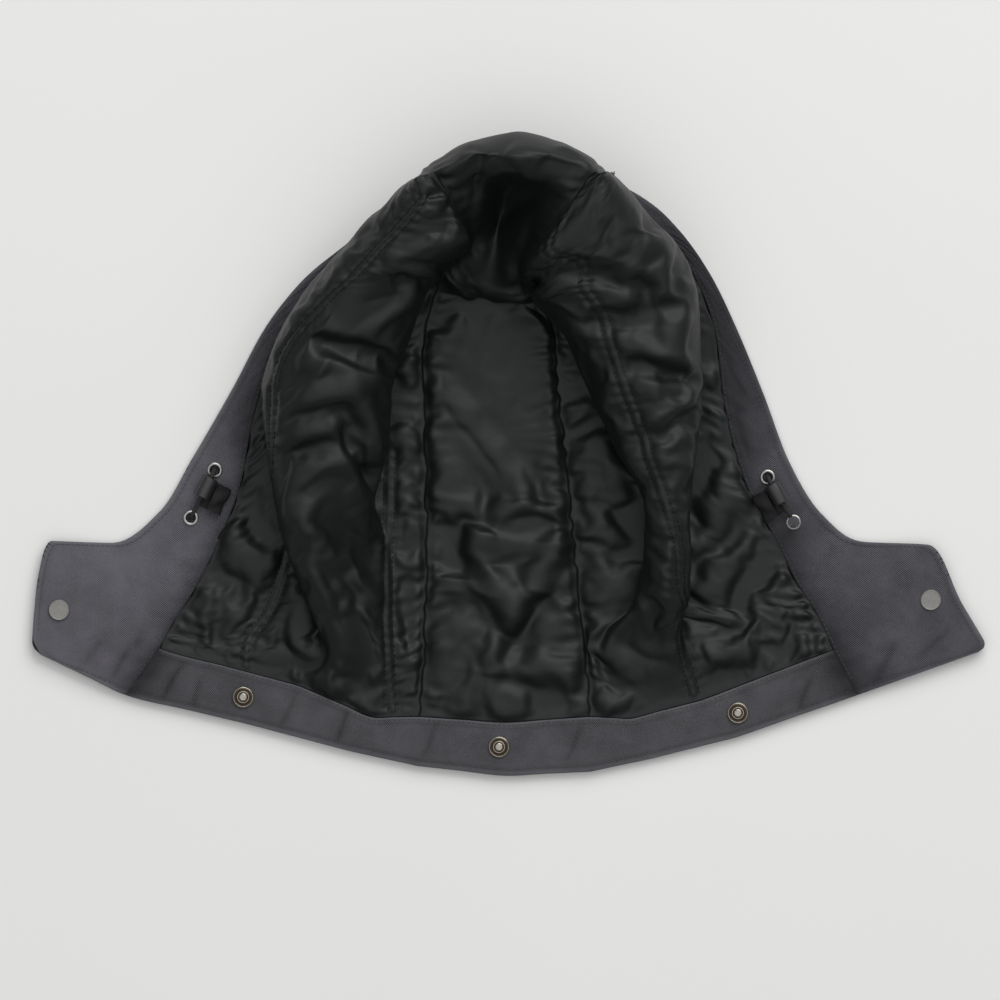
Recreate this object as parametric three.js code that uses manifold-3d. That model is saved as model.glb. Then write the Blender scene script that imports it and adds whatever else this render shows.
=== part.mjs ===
// Detachable hood for a jacket, lying on its back with the inside up.
// Millimetres. +X runs from the left throat flap to the right one seen from above, +Y to the crown, +Z up.
import * as THREE from "three";
import { mergeVertices } from "three/addons/utils/BufferGeometryUtils.js";
import Module from "manifold-3d";

const wasm = await Module();
wasm.setup();

// Overall size
const span = 577; // tip to tip over the throat flaps
const reach = 386; // hem to crown
const crownRise = 88; // height of the crown above the surface

// Cloth
const canvas = 1.4; // shell, facing and band
const padded = 3.0; // quilted lining with its wadding
const clearance = 0.3; // between pieces that touch
const seamGap = 0.7; // between panels that are sewn edge to edge
const layerGap = 0.4; // between the shell and the layer that lies on it

// Snaps
const snapRadius = 6.3;
const postRadius = 1.6;
const plateThickness = 1.2; // back plate of a band snap
const plateRadius = 5.5;
const collarRadius = 3.6;
const studRadius = 2.5;
const studHeight = 3.9;
const rimHeight = 1.3;
const socketHeight = 3.1; // below a throat flap
const socketBore = 2.8;
const capHeight = 0.9;

// Eyelets, cord and cord locks
const eyeletRadius = 4.7;
const eyeletBore = 2.5;
const eyeletWall = 0.6;
const eyeletRise = 0.8;
const cordRadius = 1.3;
const lockRadius = 5;
const lockLength = 13;
const lockCupDepth = 3.5;
const lockCupWall = 1.1;
const tapeThickness = 0.8;
const tapeWidth = 10;

// Heights that follow from the layers
const canvasBed = 2 * canvas + layerGap; // inside surface where facing or band lies on shell
const paddedBed = canvas + layerGap + padded; // inside surface where lining lies on shell
const bandLift = plateThickness + clearance; // the band is held up by its snap plates
const flapLift = socketHeight + clearance; // a flap is held up by its socket
const flapDroop = 0.2; // from the flap's edge to its middle

// Rolls
const undercut = 9; // how far the foot of a roll lies inside its outer bulge
const innerUndercut = 5; // the same on the side of the head hollow
const normalReach = 5; // points closer than this share their direction of thickness
const seamValley = 12; // over this distance from a seam the wadding grows to its full thickness
const valleyTurn = 4; // from the facing seam to the foot of the roll
const fullFold = 0.36; // crest height, as a share of crownRise, from which a roll overhangs
const cliff = [[0.4, 0.08], [0.7, 0.28], [0.88, 0.52], [0.97, 0.76]]; // way and drop to a raised seam

// Stations along the hood from the hem to the face edge, as shares of the panel seam's length
const stationNames = ["hem", "neck", "nape", "low", "mid", "ear", "temple", "high", "cave", "wall",
  "pinch", "shoulder", "crown", "back", "facingSeam", "faceEdge"];
const stations = [0, 0.064, 0.146, 0.226, 0.312, 0.391, 0.471, 0.535, 0.582, 0.638,
  0.693, 0.762, 0.829, 0.879, 0.945, 1];
const stationOf = Object.fromEntries(stationNames.map((name, i) => [name, stations[i]]));

// One row for each station. X is a share of span, Y of reach, heights of crownRise.
const sideColumns = ["edgeX", "edgeY", "seamX", "seamY", "seamZ", "outX", "outY",
  "inX", "inY", "crest", "railX", "railY", "railZ"];
const leftRows = [
  [-0.497, -0.305, -0.398, -0.375, 0, -0.269, -0.421, -0.165, -0.462, 0, -0.095, -0.485, 0],
  [-0.490, -0.193, -0.364, -0.302, 0, -0.217, -0.362, -0.142, -0.410, 0, -0.093, -0.409, 0],
  [-0.475, -0.135, -0.350, -0.264, 0, -0.192, -0.305, -0.113, -0.320, 0.20, -0.088, -0.305, 0],
  [-0.413, -0.138, -0.330, -0.218, 0, -0.217, -0.208, -0.126, -0.215, 0.38, -0.086, -0.204, 0],
  [-0.363, -0.089, -0.307, -0.152, 0, -0.241, -0.103, -0.142, -0.090, 0.49, -0.086, -0.095, 0],
  [-0.329, -0.006, -0.279, -0.045, 0, -0.252, 0.006, -0.126, 0.011, 0.57, -0.087, 0.006, 0],
  [-0.287, 0.103, -0.265, 0.064, 0, -0.257, 0.099, -0.121, 0.103, 0.64, -0.089, 0.107, 0],
  [-0.251, 0.202, -0.235, 0.185, 0, -0.239, 0.188, -0.102, 0.180, 0.69, -0.088, 0.190, 0],
  [-0.212, 0.274, -0.199, 0.253, 0, -0.216, 0.246, -0.084, 0.255, 0.76, -0.078, 0.247, 0.05],
  [-0.172, 0.323, -0.158, 0.303, 0, -0.183, 0.302, -0.061, 0.289, 0.83, -0.064, 0.292, 0.34],
  [-0.138, 0.364, -0.120, 0.326, 0.06, -0.150, 0.356, -0.043, 0.323, 0.90, -0.043, 0.328, 0.64],
  [-0.109, 0.396, -0.108, 0.373, 0.16, -0.118, 0.404, -0.055, 0.382, 0.95, -0.058, 0.390, 0.84],
  [-0.095, 0.406, -0.102, 0.409, 0.28, -0.103, 0.424, -0.088, 0.435, 0.95, -0.080, 0.437, 0.93],
  [-0.085, 0.413, -0.095, 0.423, 0.30, -0.093, 0.438, -0.089, 0.445, 0.68, -0.089, 0.445, 0.66],
  [-0.077, 0.423, -0.085, 0.435, 0.30, -0.085, 0.435, -0.085, 0.435, 0.30, -0.085, 0.435, 0.30],
  [-0.070, 0.427, -0.070, 0.427, 0, -0.070, 0.427, -0.070, 0.427, 0, -0.070, 0.427, 0],
];
const rightRows = [
  [0.499, -0.302, 0.362, -0.375, 0, 0.235, -0.441, 0.147, -0.474, 0, 0.084, -0.494, 0],
  [0.471, -0.232, 0.338, -0.305, 0, 0.199, -0.384, 0.126, -0.412, 0, 0.084, -0.409, 0],
  [0.436, -0.141, 0.318, -0.244, 0, 0.181, -0.277, 0.107, -0.314, 0.20, 0.079, -0.305, 0],
  [0.367, -0.136, 0.301, -0.205, 0, 0.189, -0.207, 0.136, -0.201, 0.40, 0.072, -0.204, 0],
  [0.325, -0.093, 0.278, -0.135, 0, 0.188, -0.106, 0.142, -0.095, 0.50, 0.064, -0.095, 0],
  [0.292, -0.014, 0.244, -0.037, 0, 0.195, 0.006, 0.112, 0.006, 0.58, 0.058, 0.006, 0],
  [0.264, 0.096, 0.224, 0.078, 0, 0.201, 0.095, 0.084, 0.096, 0.65, 0.050, 0.107, 0],
  [0.235, 0.201, 0.215, 0.187, 0, 0.200, 0.190, 0.055, 0.190, 0.70, 0.045, 0.185, 0],
  [0.211, 0.275, 0.197, 0.264, 0, 0.194, 0.263, 0.028, 0.235, 0.76, 0.032, 0.230, 0.05],
  [0.182, 0.339, 0.168, 0.323, 0, 0.175, 0.323, 0.016, 0.267, 0.83, 0.020, 0.261, 0.34],
  [0.153, 0.384, 0.129, 0.344, 0.07, 0.149, 0.365, 0.010, 0.284, 0.90, 0.015, 0.286, 0.62],
  [0.124, 0.412, 0.114, 0.387, 0.16, 0.120, 0.415, 0.041, 0.345, 0.95, 0.045, 0.354, 0.83],
  [0.107, 0.423, 0.111, 0.421, 0.28, 0.103, 0.438, 0.093, 0.437, 0.95, 0.090, 0.438, 0.93],
  [0.100, 0.431, 0.103, 0.435, 0.30, 0.098, 0.443, 0.096, 0.446, 0.68, 0.096, 0.448, 0.66],
  [0.093, 0.438, 0.093, 0.445, 0.30, 0.093, 0.445, 0.093, 0.445, 0.30, 0.093, 0.445, 0.30],
  [0.086, 0.440, 0.086, 0.440, 0, 0.086, 0.440, 0.086, 0.440, 0, 0.086, 0.440, 0],
];
// Each side's sections, and between which stations its roll begins to overhang the head hollow
const leftSide = { rows: leftRows, hangFrom: ["low", "ear"] };
const rightSide = { rows: rightRows, hangFrom: ["nape", "low"] };

// Middle line of the centre panel
const middleColumns = ["x", "y", "z"];
const middleRows = [
  [-0.005, -0.500, 0],
  [-0.004, -0.418, 0],
  [-0.004, -0.305, 0],
  [-0.006, -0.204, 0],
  [-0.009, -0.095, 0],
  [-0.014, 0.006, 0],
  [-0.019, 0.107, 0],
  [-0.022, 0.185, 0],
  [-0.022, 0.232, 0.01],
  [-0.021, 0.263, 0.05],
  [-0.016, 0.309, 0.11],
  [-0.003, 0.404, 0.26],
  [0.006, 0.469, 1],
  [0.008, 0.501, 0.70],
  [0.008, 0.488, 0.31],
  [0.008, 0.455, 0],
];

// Main folds of the lining: a line in plan, its half width and its depth (below nought a ridge).
// X is a share of span, Y of reach, widths and depths of crownRise.
const foldColumns = ["fromX", "fromY", "toX", "toY", "width", "depth"];
const folds = {
  left: [
    [-0.190, 0.165, -0.109, 0.127, 0.125, 0.057],
    [-0.169, 0.056, -0.142, -0.040, 0.136, 0.057],
    [-0.142, -0.037, -0.126, -0.072, 0.114, 0.040],
    [-0.111, 0.267, -0.080, 0.255, 0.102, 0.040],
    [-0.217, -0.002, -0.171, 0.006, 0.125, 0.028],
    [-0.223, -0.103, -0.176, -0.165, 0.136, -0.028],
    [-0.207, 0.084, -0.165, 0.099, 0.114, -0.023],
  ],
  centre: [
    [-0.075, 0.096, 0.011, -0.059, 0.170, -0.040],
    [-0.004, -0.084, 0.066, -0.090, 0.170, -0.045],
    [-0.032, -0.141, 0.003, -0.246, 0.170, -0.051],
    [0.003, -0.246, 0.048, -0.141, 0.170, -0.045],
    [-0.082, -0.141, -0.041, -0.289, 0.170, 0.040],
    [-0.035, -0.305, 0.069, -0.351, 0.170, -0.040],
    [-0.036, 0.479, -0.034, 0.387, 0.136, 0.034],
    [-0.009, 0.410, 0.003, 0.488, 0.159, -0.023],
  ],
  right: [
    [0.059, 0.295, 0.145, 0.255, 0.114, 0.045],
    [0.093, 0.205, 0.165, 0.227, 0.114, 0.040],
    [0.130, 0.137, 0.192, 0.124, 0.114, 0.040],
    [0.136, 0.022, 0.188, 0.053, 0.125, 0.028],
    [0.152, -0.072, 0.188, -0.165, 0.125, -0.023],
    [0.141, -0.165, 0.152, -0.289, 0.136, 0.034],
  ],
};

// Mesh steps between neighbouring stations, and between neighbouring control points of a section
const rowSteps = [1, 2, 2, 2, 2, 1, 1, 1, 1, 1, 2, 3, 2, 1, 1];
const facingSteps = [1, 2];
const liningSteps = [2, 2, 1, 2, 2, 1, 1, 1, 1];
const centreSteps = [2, 2, 2, 2];

// Places of the hard pieces in plan, as shares of span and reach
const bandSnapPlaces = {
  left: [-0.2765, -0.378],
  centre: [-0.0104, -0.4555],
  right: [0.238, -0.4026],
};
const flapSnapPlaces = {
  left: [-0.468, -0.2425],
  right: [0.4387, -0.227],
};
const eyeletPlaces = {
  left: { upper: [-0.306, -0.025], lower: [-0.331, -0.0995] },
  right: { upper: [0.269, -0.036], lower: [0.296, -0.106] },
};
const lockPlace = 0.64; // centre of a cord lock on the way from the lower eyelet to the upper one
const tabReach = { left: 15, right: 15 }; // from the lock's axis to the lining seam

// Materials
function cloth(color, roughness) {
  return new THREE.MeshStandardMaterial({ color, roughness, metalness: 0, side: THREE.DoubleSide });
}
const materials = {
  canvas: cloth(0x4a494e, 0.95),
  facing: cloth(0x54535a, 0.95),
  lining: cloth(0x1d1f20, 0.5),
  tape: cloth(0x121213, 0.8),
  cord: cloth(0x161617, 0.8),
  plastic: cloth(0x2b2b2d, 0.45),
  metal: new THREE.MeshStandardMaterial({ color: 0x8f8a80, roughness: 0.35, metalness: 0.9 }),
};

// Smooth curve through values at rising knots. A level curve never overshoots its values.
function curveValue(knots, values, t, level) {
  const last = knots.length - 1;
  let i = 0;
  while (i < last - 1 && t > knots[i + 1]) {
    i += 1;
  }
  const slopeAt = (k) => {
    const before = k > 0 ? (values[k] - values[k - 1]) / (knots[k] - knots[k - 1]) : null;
    const after = k < last ? (values[k + 1] - values[k]) / (knots[k + 1] - knots[k]) : null;
    if (before === null) {
      return after;
    }
    if (after === null) {
      return before;
    }
    const left = knots[k] - knots[k - 1];
    const right = knots[k + 1] - knots[k];
    if (!level) {
      return (before * right + after * left) / (left + right);
    }
    if (before * after <= 0) {
      return 0;
    }
    return (3 * (left + right)) / ((2 * right + left) / before + (right + 2 * left) / after);
  };
  const width = knots[i + 1] - knots[i];
  const s = THREE.MathUtils.clamp((t - knots[i]) / width, 0, 1);
  const a = slopeAt(i) * width;
  const b = slopeAt(i + 1) * width;
  const rise = values[i + 1] - values[i];
  return values[i] + s * (a + s * (3 * rise - 2 * a - b + s * (a + b - 2 * rise)));
}

// One station's row, worked out between the table's rows
function rowAt(columns, rows, at) {
  const row = {};
  columns.forEach((name, c) => {
    row[name] = curveValue(stations, rows.map((r) => r[c]), at, true);
  });
  return row;
}

function ramp(value, from, to) {
  return THREE.MathUtils.smoothstep(value, from, to);
}

function between(a, b, share) {
  return new THREE.Vector3().lerpVectors(a, b, share);
}

function plan(x, y, z) {
  return new THREE.Vector3(x * span, y * reach, z);
}

// How much wadding lies under a station: none at the neck seam and in front of the facing seam
function waddingShare(at) {
  return ramp(at, stationOf.neck, stationOf.nape) * (1 - ramp(at, stationOf.back, stationOf.facingSeam));
}

function bedAt(at) {
  return canvasBed + (paddedBed - canvasBed) * waddingShare(at);
}

function bandLiftAt(at) {
  return bandLift * (1 - ramp(at, stationOf.neck, stationOf.nape));
}

function flapLiftAt(at) {
  return flapLift * (1 - ramp(at, stationOf.nape, stationOf.low));
}

// Control points of a side panel's section, from the face edge over the roll to the panel seam
function sideControls({ rows, hangFrom }, at) {
  const row = rowAt(sideColumns, rows, at);
  const bed = bedAt(at) + bandLiftAt(at);
  const crest = row.crest * crownRise;
  const rail = row.railZ * crownRise;
  const fold = ramp(row.crest, 0, fullFold);
  const rise = crest > 0 ? ramp(rail / crest, 0.1, 0.7) : 0;
  const stand = ramp(at, stationOf.crown, stationOf.back);
  const hang = fold * ramp(at, stationOf[hangFrom[0]], stationOf[hangFrom[1]]);
  const lift = ramp(row.seamZ, 0, 0.2);

  const edge = plan(row.edgeX, row.edgeY, canvasBed + Math.max(flapLiftAt(at), bandLiftAt(at)));
  const seam = plan(row.seamX, row.seamY, canvasBed + bandLiftAt(at) + row.seamZ * crownRise);
  const flat = between(edge, seam, 0.55);
  flat.z = at < stationOf.low ? edge.z - flapDroop : flat.z;
  const end = plan(row.railX, row.railY, canvasBed + bandLiftAt(at) + rail);
  const out = plan(row.outX, row.outY, bed + crest / 2);
  const inner = plan(row.inX, row.inY, bed + crest / 2);

  const across = new THREE.Vector3(inner.x - out.x, inner.y - out.y, 0);
  if (across.length() > 0) {
    across.normalize();
  }
  const inward = new THREE.Vector3(seam.x - edge.x, seam.y - edge.y, 0).normalize();
  const outFoot = out.clone().addScaledVector(across, undercut);
  const seamFoot = seam.clone().addScaledVector(inward, valleyTurn);
  const ahead = new THREE.Vector3().subVectors(seamFoot, outFoot).dot(across);
  const foot = between(outFoot, seamFoot, ramp(ahead, -undercut / 2, undercut / 2));
  foot.z = bed;
  const plainFoot = between(seam, out, 0.5);
  const valley = between(plainFoot, foot, fold * (1 - lift));
  const top = between(out, inner, THREE.MathUtils.lerp(0.24, 0.46, hang));
  top.z = bed + crest;
  const outTop = between(out, top, 0.3);
  outTop.z = bed + 0.86 * crest;
  const innerTop = between(inner, top, THREE.MathUtils.lerp(0.55, 0.3, hang));
  innerTop.z = bed + THREE.MathUtils.lerp(rail, crest, THREE.MathUtils.lerp(0.62, 0.86, hang));
  inner.z = bed + THREE.MathUtils.lerp(rail, crest, THREE.MathUtils.lerp(0.16, 0.5, hang));

  const innerFoot = inner.clone().addScaledVector(across, -innerUndercut);
  innerFoot.z = bed + rail;
  const plainInner = between(inner, end, 0.4);
  plainInner.z = bed + rail;
  const sheltered = between(plainInner, innerFoot, hang);
  const floor = between(sheltered, end, 0.5);
  floor.z = sheltered.z;
  const steep = rise * ramp(1 - rail / Math.max(crest, 1), 0, 0.25);
  const inside = [innerTop, inner, sheltered, floor].map((point, k) => {
    const [share, drop] = cliff[k];
    const even = (k + 1) / (cliff.length + 1);
    const onCliff = between(top, end, THREE.MathUtils.lerp(even, share, steep));
    onCliff.z = THREE.MathUtils.lerp(top.z, end.z, THREE.MathUtils.lerp(even, drop, steep));
    return between(point, onCliff, rise);
  });

  const points = [edge, flat, seam, valley, out, outTop, top, ...inside, end];
  const wallCount = points.length - 3;
  return points.map((point, i) => (i < 3 ? point : between(point, between(seam, end, (i - 2) / wallCount), stand)));
}

// Control points across the centre panel, from the left panel seam to the right one
function centreControls(at) {
  const left = sideControls(leftSide, at).at(-1);
  const right = sideControls(rightSide, at).at(-1);
  const row = rowAt(middleColumns, middleRows, at);
  const bed = bedAt(at) + bandLiftAt(at);
  const middle = plan(row.x, row.y, bed + row.z * crownRise);
  const sag = ramp(Math.abs(middle.z - (left.z + right.z) / 2) / crownRise, 0, 0.4);
  const wide = 0.5 - 0.22 * sag;
  const deep = 0.5 + 0.24 * sag;
  const quarters = [left, right].map((end) => {
    const point = between(end, middle, wide);
    point.z = THREE.MathUtils.lerp(end.z, middle.z, deep);
    return point;
  });
  return [left, quarters[0], middle, quarters[1], right];
}

// Points along a section: each pair of neighbouring control points is split into its steps
function sectionPoints(controls, steps) {
  const knots = [0];
  for (let i = 1; i < controls.length; i += 1) {
    knots.push(knots[i - 1] + Math.max(Math.sqrt(controls[i].distanceTo(controls[i - 1])), 0.01));
  }
  const xs = controls.map((point) => point.x);
  const ys = controls.map((point) => point.y);
  const zs = controls.map((point) => point.z);
  const pointAt = (t) => new THREE.Vector3(
    curveValue(knots, xs, t, false),
    curveValue(knots, ys, t, false),
    curveValue(knots, zs, t, true),
  );
  const points = [pointAt(0)];
  steps.forEach((count, i) => {
    for (let k = 1; k <= count; k += 1) {
      points.push(pointAt(knots[i] + ((knots[i + 1] - knots[i]) * k) / count));
    }
  });
  return points;
}

const sampleStations = [stations[0]];
const stationRow = { hem: 0 };
rowSteps.forEach((count, i) => {
  for (let k = 1; k <= count; k += 1) {
    sampleStations.push(stations[i] + ((stations[i + 1] - stations[i]) * k) / count);
  }
  stationRow[stationNames[i + 1]] = sampleStations.length - 1;
});

// Grids of points on the inside surface. Rows run from the hem to the face edge,
// columns from left to right, so the right panel's sections are turned round.
const sideSteps = [...facingSteps, ...liningSteps];
const facingColumns = facingSteps.reduce((sum, count) => sum + count, 0);
const sideLast = sideSteps.reduce((sum, count) => sum + count, 0);
const grids = {
  left: sampleStations.map((at) => sectionPoints(sideControls(leftSide, at), sideSteps)),
  centre: sampleStations.map((at) => sectionPoints(centreControls(at), centreSteps)),
  right: sampleStations.map((at) => sectionPoints(sideControls(rightSide, at), sideSteps).reverse()),
};
const centreLast = grids.centre[0].length - 1;

// Columns of the facing and of the lining in each panel
const facingRange = { left: [0, facingColumns], right: [sideLast - facingColumns, sideLast] };
const liningRange = {
  left: [facingColumns, sideLast],
  centre: [0, centreLast],
  right: [0, sideLast - facingColumns],
};

// Normals of a grid, from the triangles that meet at each point
function gridNormals(grid) {
  const normals = grid.map((row) => row.map(() => new THREE.Vector3()));
  const corner = (i, j) => ({ point: grid[i][j], normal: normals[i][j] });
  for (let i = 0; i < grid.length - 1; i += 1) {
    for (let j = 0; j < grid[0].length - 1; j += 1) {
      const quad = [corner(i, j), corner(i, j + 1), corner(i + 1, j + 1), corner(i + 1, j)];
      quad.forEach((here, k) => {
        const next = quad[(k + 1) % 4].point.clone().sub(here.point);
        const previous = quad[(k + 3) % 4].point.clone().sub(here.point);
        here.normal.add(next.cross(previous));
      });
    }
  }
  return normals;
}

// Distance from a point of a lining panel to the nearest seam round the panel
function awayFromSeams(name, i, j) {
  const grid = grids[name];
  const [first, last] = liningRange[name];
  const borders = [grid[i][first], grid[i][last], grid[stationRow.neck][j], grid[stationRow.facingSeam][j]];
  const inLining = j > first && j < last && i > stationRow.neck && i < stationRow.facingSeam;
  return inLining ? Math.min(...borders.map((border) => border.distanceTo(grid[i][j]))) : 0;
}

// How deep the folds are at a point of one panel, seen in plan
function foldDepth(name, point) {
  let sum = 0;
  folds[name].forEach((values) => {
    const fold = Object.fromEntries(foldColumns.map((column, k) => [column, values[k]]));
    const line = new THREE.Line3(plan(fold.fromX, fold.fromY, 0), plan(fold.toX, fold.toY, 0));
    const nearest = line.closestPointToPoint(new THREE.Vector3(point.x, point.y, 0), true, new THREE.Vector3());
    const away = Math.hypot(point.x - nearest.x, point.y - nearest.y) / (fold.width * crownRise);
    sum += fold.depth * crownRise * Math.max(1 - away * away, 0) ** 2;
  });
  return sum;
}

// Moves the points that face up, away from the seams and above the layers under a roll
function pressFolds() {
  Object.keys(grids).forEach((name) => {
    const directions = gridNormals(grids[name]);
    const moves = grids[name].map((row, i) => row.map((point, j) => {
      const direction = directions[i][j].normalize();
      const onRoll = name === "centre" ? 1 : ramp(point.z, paddedBed, 3 * paddedBed);
      const exposed = ramp(direction.z, 0.1, 0.5) * onRoll * ramp(awayFromSeams(name, i, j), 0, seamValley);
      return direction.multiplyScalar(-exposed * foldDepth(name, point));
    }));
    grids[name].forEach((row, i) => row.forEach((point, j) => {
      point.add(moves[i][j]);
      point.z = Math.max(point.z, canvasBed);
    }));
  });
}
pressFolds();

// Each point's normal, evened out with its close neighbours' so that thick layers don't cross
function evenNormals() {
  const names = Object.keys(grids);
  const raw = Object.fromEntries(names.map((name) => [name, gridNormals(grids[name])]));
  const samples = names.flatMap((name) => grids[name].flatMap((row, i) => row.map((point, j) => ({
    point,
    normal: raw[name][i][j],
  }))));
  const sumWithin = (point, distance, like) => {
    const sum = new THREE.Vector3();
    samples.forEach((sample) => {
      const nearness = 1 - point.distanceTo(sample.point) / distance;
      if (nearness > 0 && (!like || sample.normal.dot(like) > 0)) {
        sum.addScaledVector(sample.normal, nearness * nearness);
      }
    });
    return sum;
  };
  const normalAt = (point) => sumWithin(point, normalReach, sumWithin(point, 0.01)).normalize();
  return Object.fromEntries(names.map((name) => [name, grids[name].map((row) => row.map(normalAt))]));
}
const normals = evenNormals();

// A stretch of one panel: the rows and columns from one index to another, both included
function patch(name, rows, columns) {
  const cells = [];
  for (let i = rows[0]; i <= rows[1]; i += 1) {
    const line = [];
    for (let j = columns[0]; j <= columns[1]; j += 1) {
      line.push({
        point: grids[name][i][j].clone(),
        normal: normals[name][i][j],
        wadding: liningThickness(name, i, j),
      });
    }
    cells.push(line);
  }
  return cells;
}

// Full thickness inside a lining panel, thin as canvas along the seams that sew it down
function liningThickness(name, i, j) {
  return THREE.MathUtils.lerp(canvas, padded, ramp(awayFromSeams(name, i, j), 0, seamValley));
}

// Draws a patch back by half a seam gap, square to the borders that meet a neighbour
function drawBack(cells, sides) {
  const lastRow = cells.length - 1;
  const lastColumn = cells[0].length - 1;
  const columnAt = (j) => cells.map((line) => line[j]);
  const borders = {
    left: { line: columnAt(0), turn: 1 },
    right: { line: columnAt(lastColumn), turn: -1 },
    bottom: { line: cells[0], turn: -1 },
    top: { line: cells[lastRow], turn: 1 },
  };
  const moves = [];
  sides.forEach((side) => {
    const { line, turn } = borders[side];
    line.forEach((cell, k) => {
      const from = line[Math.max(k - 1, 0)].point;
      const to = line[Math.min(k + 1, line.length - 1)].point;
      const inward = to.clone().sub(from).cross(cell.normal).normalize().multiplyScalar(turn);
      moves.push([cell, inward.multiplyScalar(seamGap / 2)]);
    });
  });
  moves.forEach(([cell, move]) => cell.point.add(move));
  return cells;
}

// Closed sheet between two depths under the inside surface, never below the layers under it
function sheet(cells, depthAbove, depthBelow, floorAbove, floorBelow) {
  const positions = [];
  const indices = [];
  const known = new Map();
  const vertex = (cell, depth, floor) => {
    const point = cell.point.clone().addScaledVector(cell.normal, -depth);
    point.z = Math.max(point.z, floor);
    const key = point.toArray().map((value) => value.toFixed(3)).join(",");
    if (!known.has(key)) {
      known.set(key, positions.length / 3);
      positions.push(...point.toArray());
    }
    return known.get(key);
  };
  const above = cells.map((line) => line.map((cell) => vertex(cell, depthAbove(cell), floorAbove)));
  const below = cells.map((line) => line.map((cell) => vertex(cell, depthBelow(cell), floorBelow)));
  const triangle = (a, b, c) => {
    if (a !== b && b !== c && c !== a) {
      indices.push(a, b, c);
    }
  };
  const quad = (a, b, c, d) => {
    triangle(a, b, c);
    triangle(a, c, d);
  };
  const lastRow = cells.length - 1;
  const lastColumn = cells[0].length - 1;
  for (let i = 0; i < lastRow; i += 1) {
    for (let j = 0; j < lastColumn; j += 1) {
      quad(above[i][j], above[i][j + 1], above[i + 1][j + 1], above[i + 1][j]);
      quad(below[i][j], below[i + 1][j], below[i + 1][j + 1], below[i][j + 1]);
    }
    quad(above[i][0], above[i + 1][0], below[i + 1][0], below[i][0]);
    quad(above[i][lastColumn], below[i][lastColumn], below[i + 1][lastColumn], above[i + 1][lastColumn]);
  }
  for (let j = 0; j < lastColumn; j += 1) {
    quad(above[0][j], below[0][j], below[0][j + 1], above[0][j + 1]);
    quad(above[lastRow][j], above[lastRow][j + 1], below[lastRow][j + 1], below[lastRow][j]);
  }
  const geometry = new THREE.BufferGeometry();
  geometry.setAttribute("position", new THREE.Float32BufferAttribute(positions, 3));
  geometry.setIndex(indices);
  return geometry;
}

function insideSheet(cells) {
  return sheet(cells, () => 0, (cell) => cell.wadding, 0, canvas + layerGap);
}

function shellSheet(cells) {
  const top = (cell) => cell.wadding + layerGap;
  return sheet(cells, top, (cell) => top(cell) + canvas, canvas, 0);
}

// Cutting with manifold-3d
function toManifold(geometry) {
  const bare = geometry.clone();
  bare.deleteAttribute("uv");
  bare.deleteAttribute("normal");
  const welded = mergeVertices(bare, 0.0005);
  return new wasm.Manifold(new wasm.Mesh({
    numProp: 3,
    vertProperties: Float32Array.from(welded.attributes.position.array),
    triVerts: Uint32Array.from(welded.index.array),
  }));
}

function cut(geometry, cutters) {
  let solid = toManifold(geometry);
  cutters.forEach((cutter) => {
    solid = solid.subtract(toManifold(cutter));
  });
  const mesh = solid.getMesh();
  const result = new THREE.BufferGeometry();
  result.setAttribute("position", new THREE.Float32BufferAttribute(mesh.vertProperties, 3));
  result.setIndex(Array.from(mesh.triVerts));
  return result;
}

// Upright cylinder through all cloth at a place in plan
function hole(place, radius, from, to) {
  const geometry = new THREE.CylinderGeometry(radius, radius, to - from, 10);
  geometry.rotateX(Math.PI / 2);
  geometry.translate(place[0] * span, place[1] * reach, (from + to) / 2);
  return geometry;
}

function lathe(profile, sides) {
  const points = profile.map(([radius, height]) => new THREE.Vector2(radius, height));
  const geometry = new THREE.LatheGeometry(points, sides);
  geometry.rotateX(Math.PI / 2);
  return geometry;
}

// Snap on the neck band: back plate on the surface, post through the cloth, stud above
function bandSnap() {
  const cloth = bandLift + canvasBed;
  const seat = cloth + clearance;
  const rim = seat + rimHeight;
  const dish = seat + 0.4 * rimHeight;
  const top = seat + studHeight;
  return lathe([
    [0, 0],
    [plateRadius, 0],
    [plateRadius, plateThickness],
    [postRadius, plateThickness],
    [postRadius, seat],
    [snapRadius, seat],
    [snapRadius, rim - 0.3 * rimHeight],
    [0.9 * snapRadius, rim],
    [0.78 * snapRadius, dish],
    [1.08 * collarRadius, dish],
    [collarRadius, rim],
    [0.82 * collarRadius, rim],
    [0.74 * collarRadius, dish],
    [0.7 * studRadius, dish],
    [0.7 * studRadius, top - 0.5 * studRadius],
    [studRadius, top - 0.4 * studRadius],
    [studRadius, top - 0.15 * studRadius],
    [0.75 * studRadius, top],
    [0, top],
  ], 10);
}

// Snap on a throat flap: socket below, post through the cloth, plain cap above
function flapSnap() {
  const cloth = flapLift + canvasBed;
  const seat = cloth + clearance;
  return lathe([
    [0, 0.7 * socketHeight],
    [socketBore, 0.7 * socketHeight],
    [socketBore, 0],
    [plateRadius, 0],
    [plateRadius, socketHeight],
    [postRadius, socketHeight],
    [postRadius, seat],
    [snapRadius, seat],
    [snapRadius, seat + 0.6 * capHeight],
    [0.93 * snapRadius, seat + capHeight],
    [0, seat + capHeight],
  ], 12);
}

// Eyelet through the facing only, its foot level with the facing's underside
function eyelet() {
  const barrel = eyeletBore + eyeletWall;
  const seat = canvasBed + clearance;
  return lathe([
    [eyeletBore, canvas + layerGap],
    [barrel, canvas + layerGap],
    [barrel, seat],
    [eyeletRadius, seat],
    [0.96 * eyeletRadius, seat + 0.6 * eyeletRise],
    [0.8 * eyeletRadius, seat + eyeletRise],
    [0.98 * barrel, seat + 0.8 * eyeletRise],
    [eyeletBore, seat + 0.2 * eyeletRise],
    [eyeletBore, canvas + layerGap],
  ], 10);
}

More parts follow.
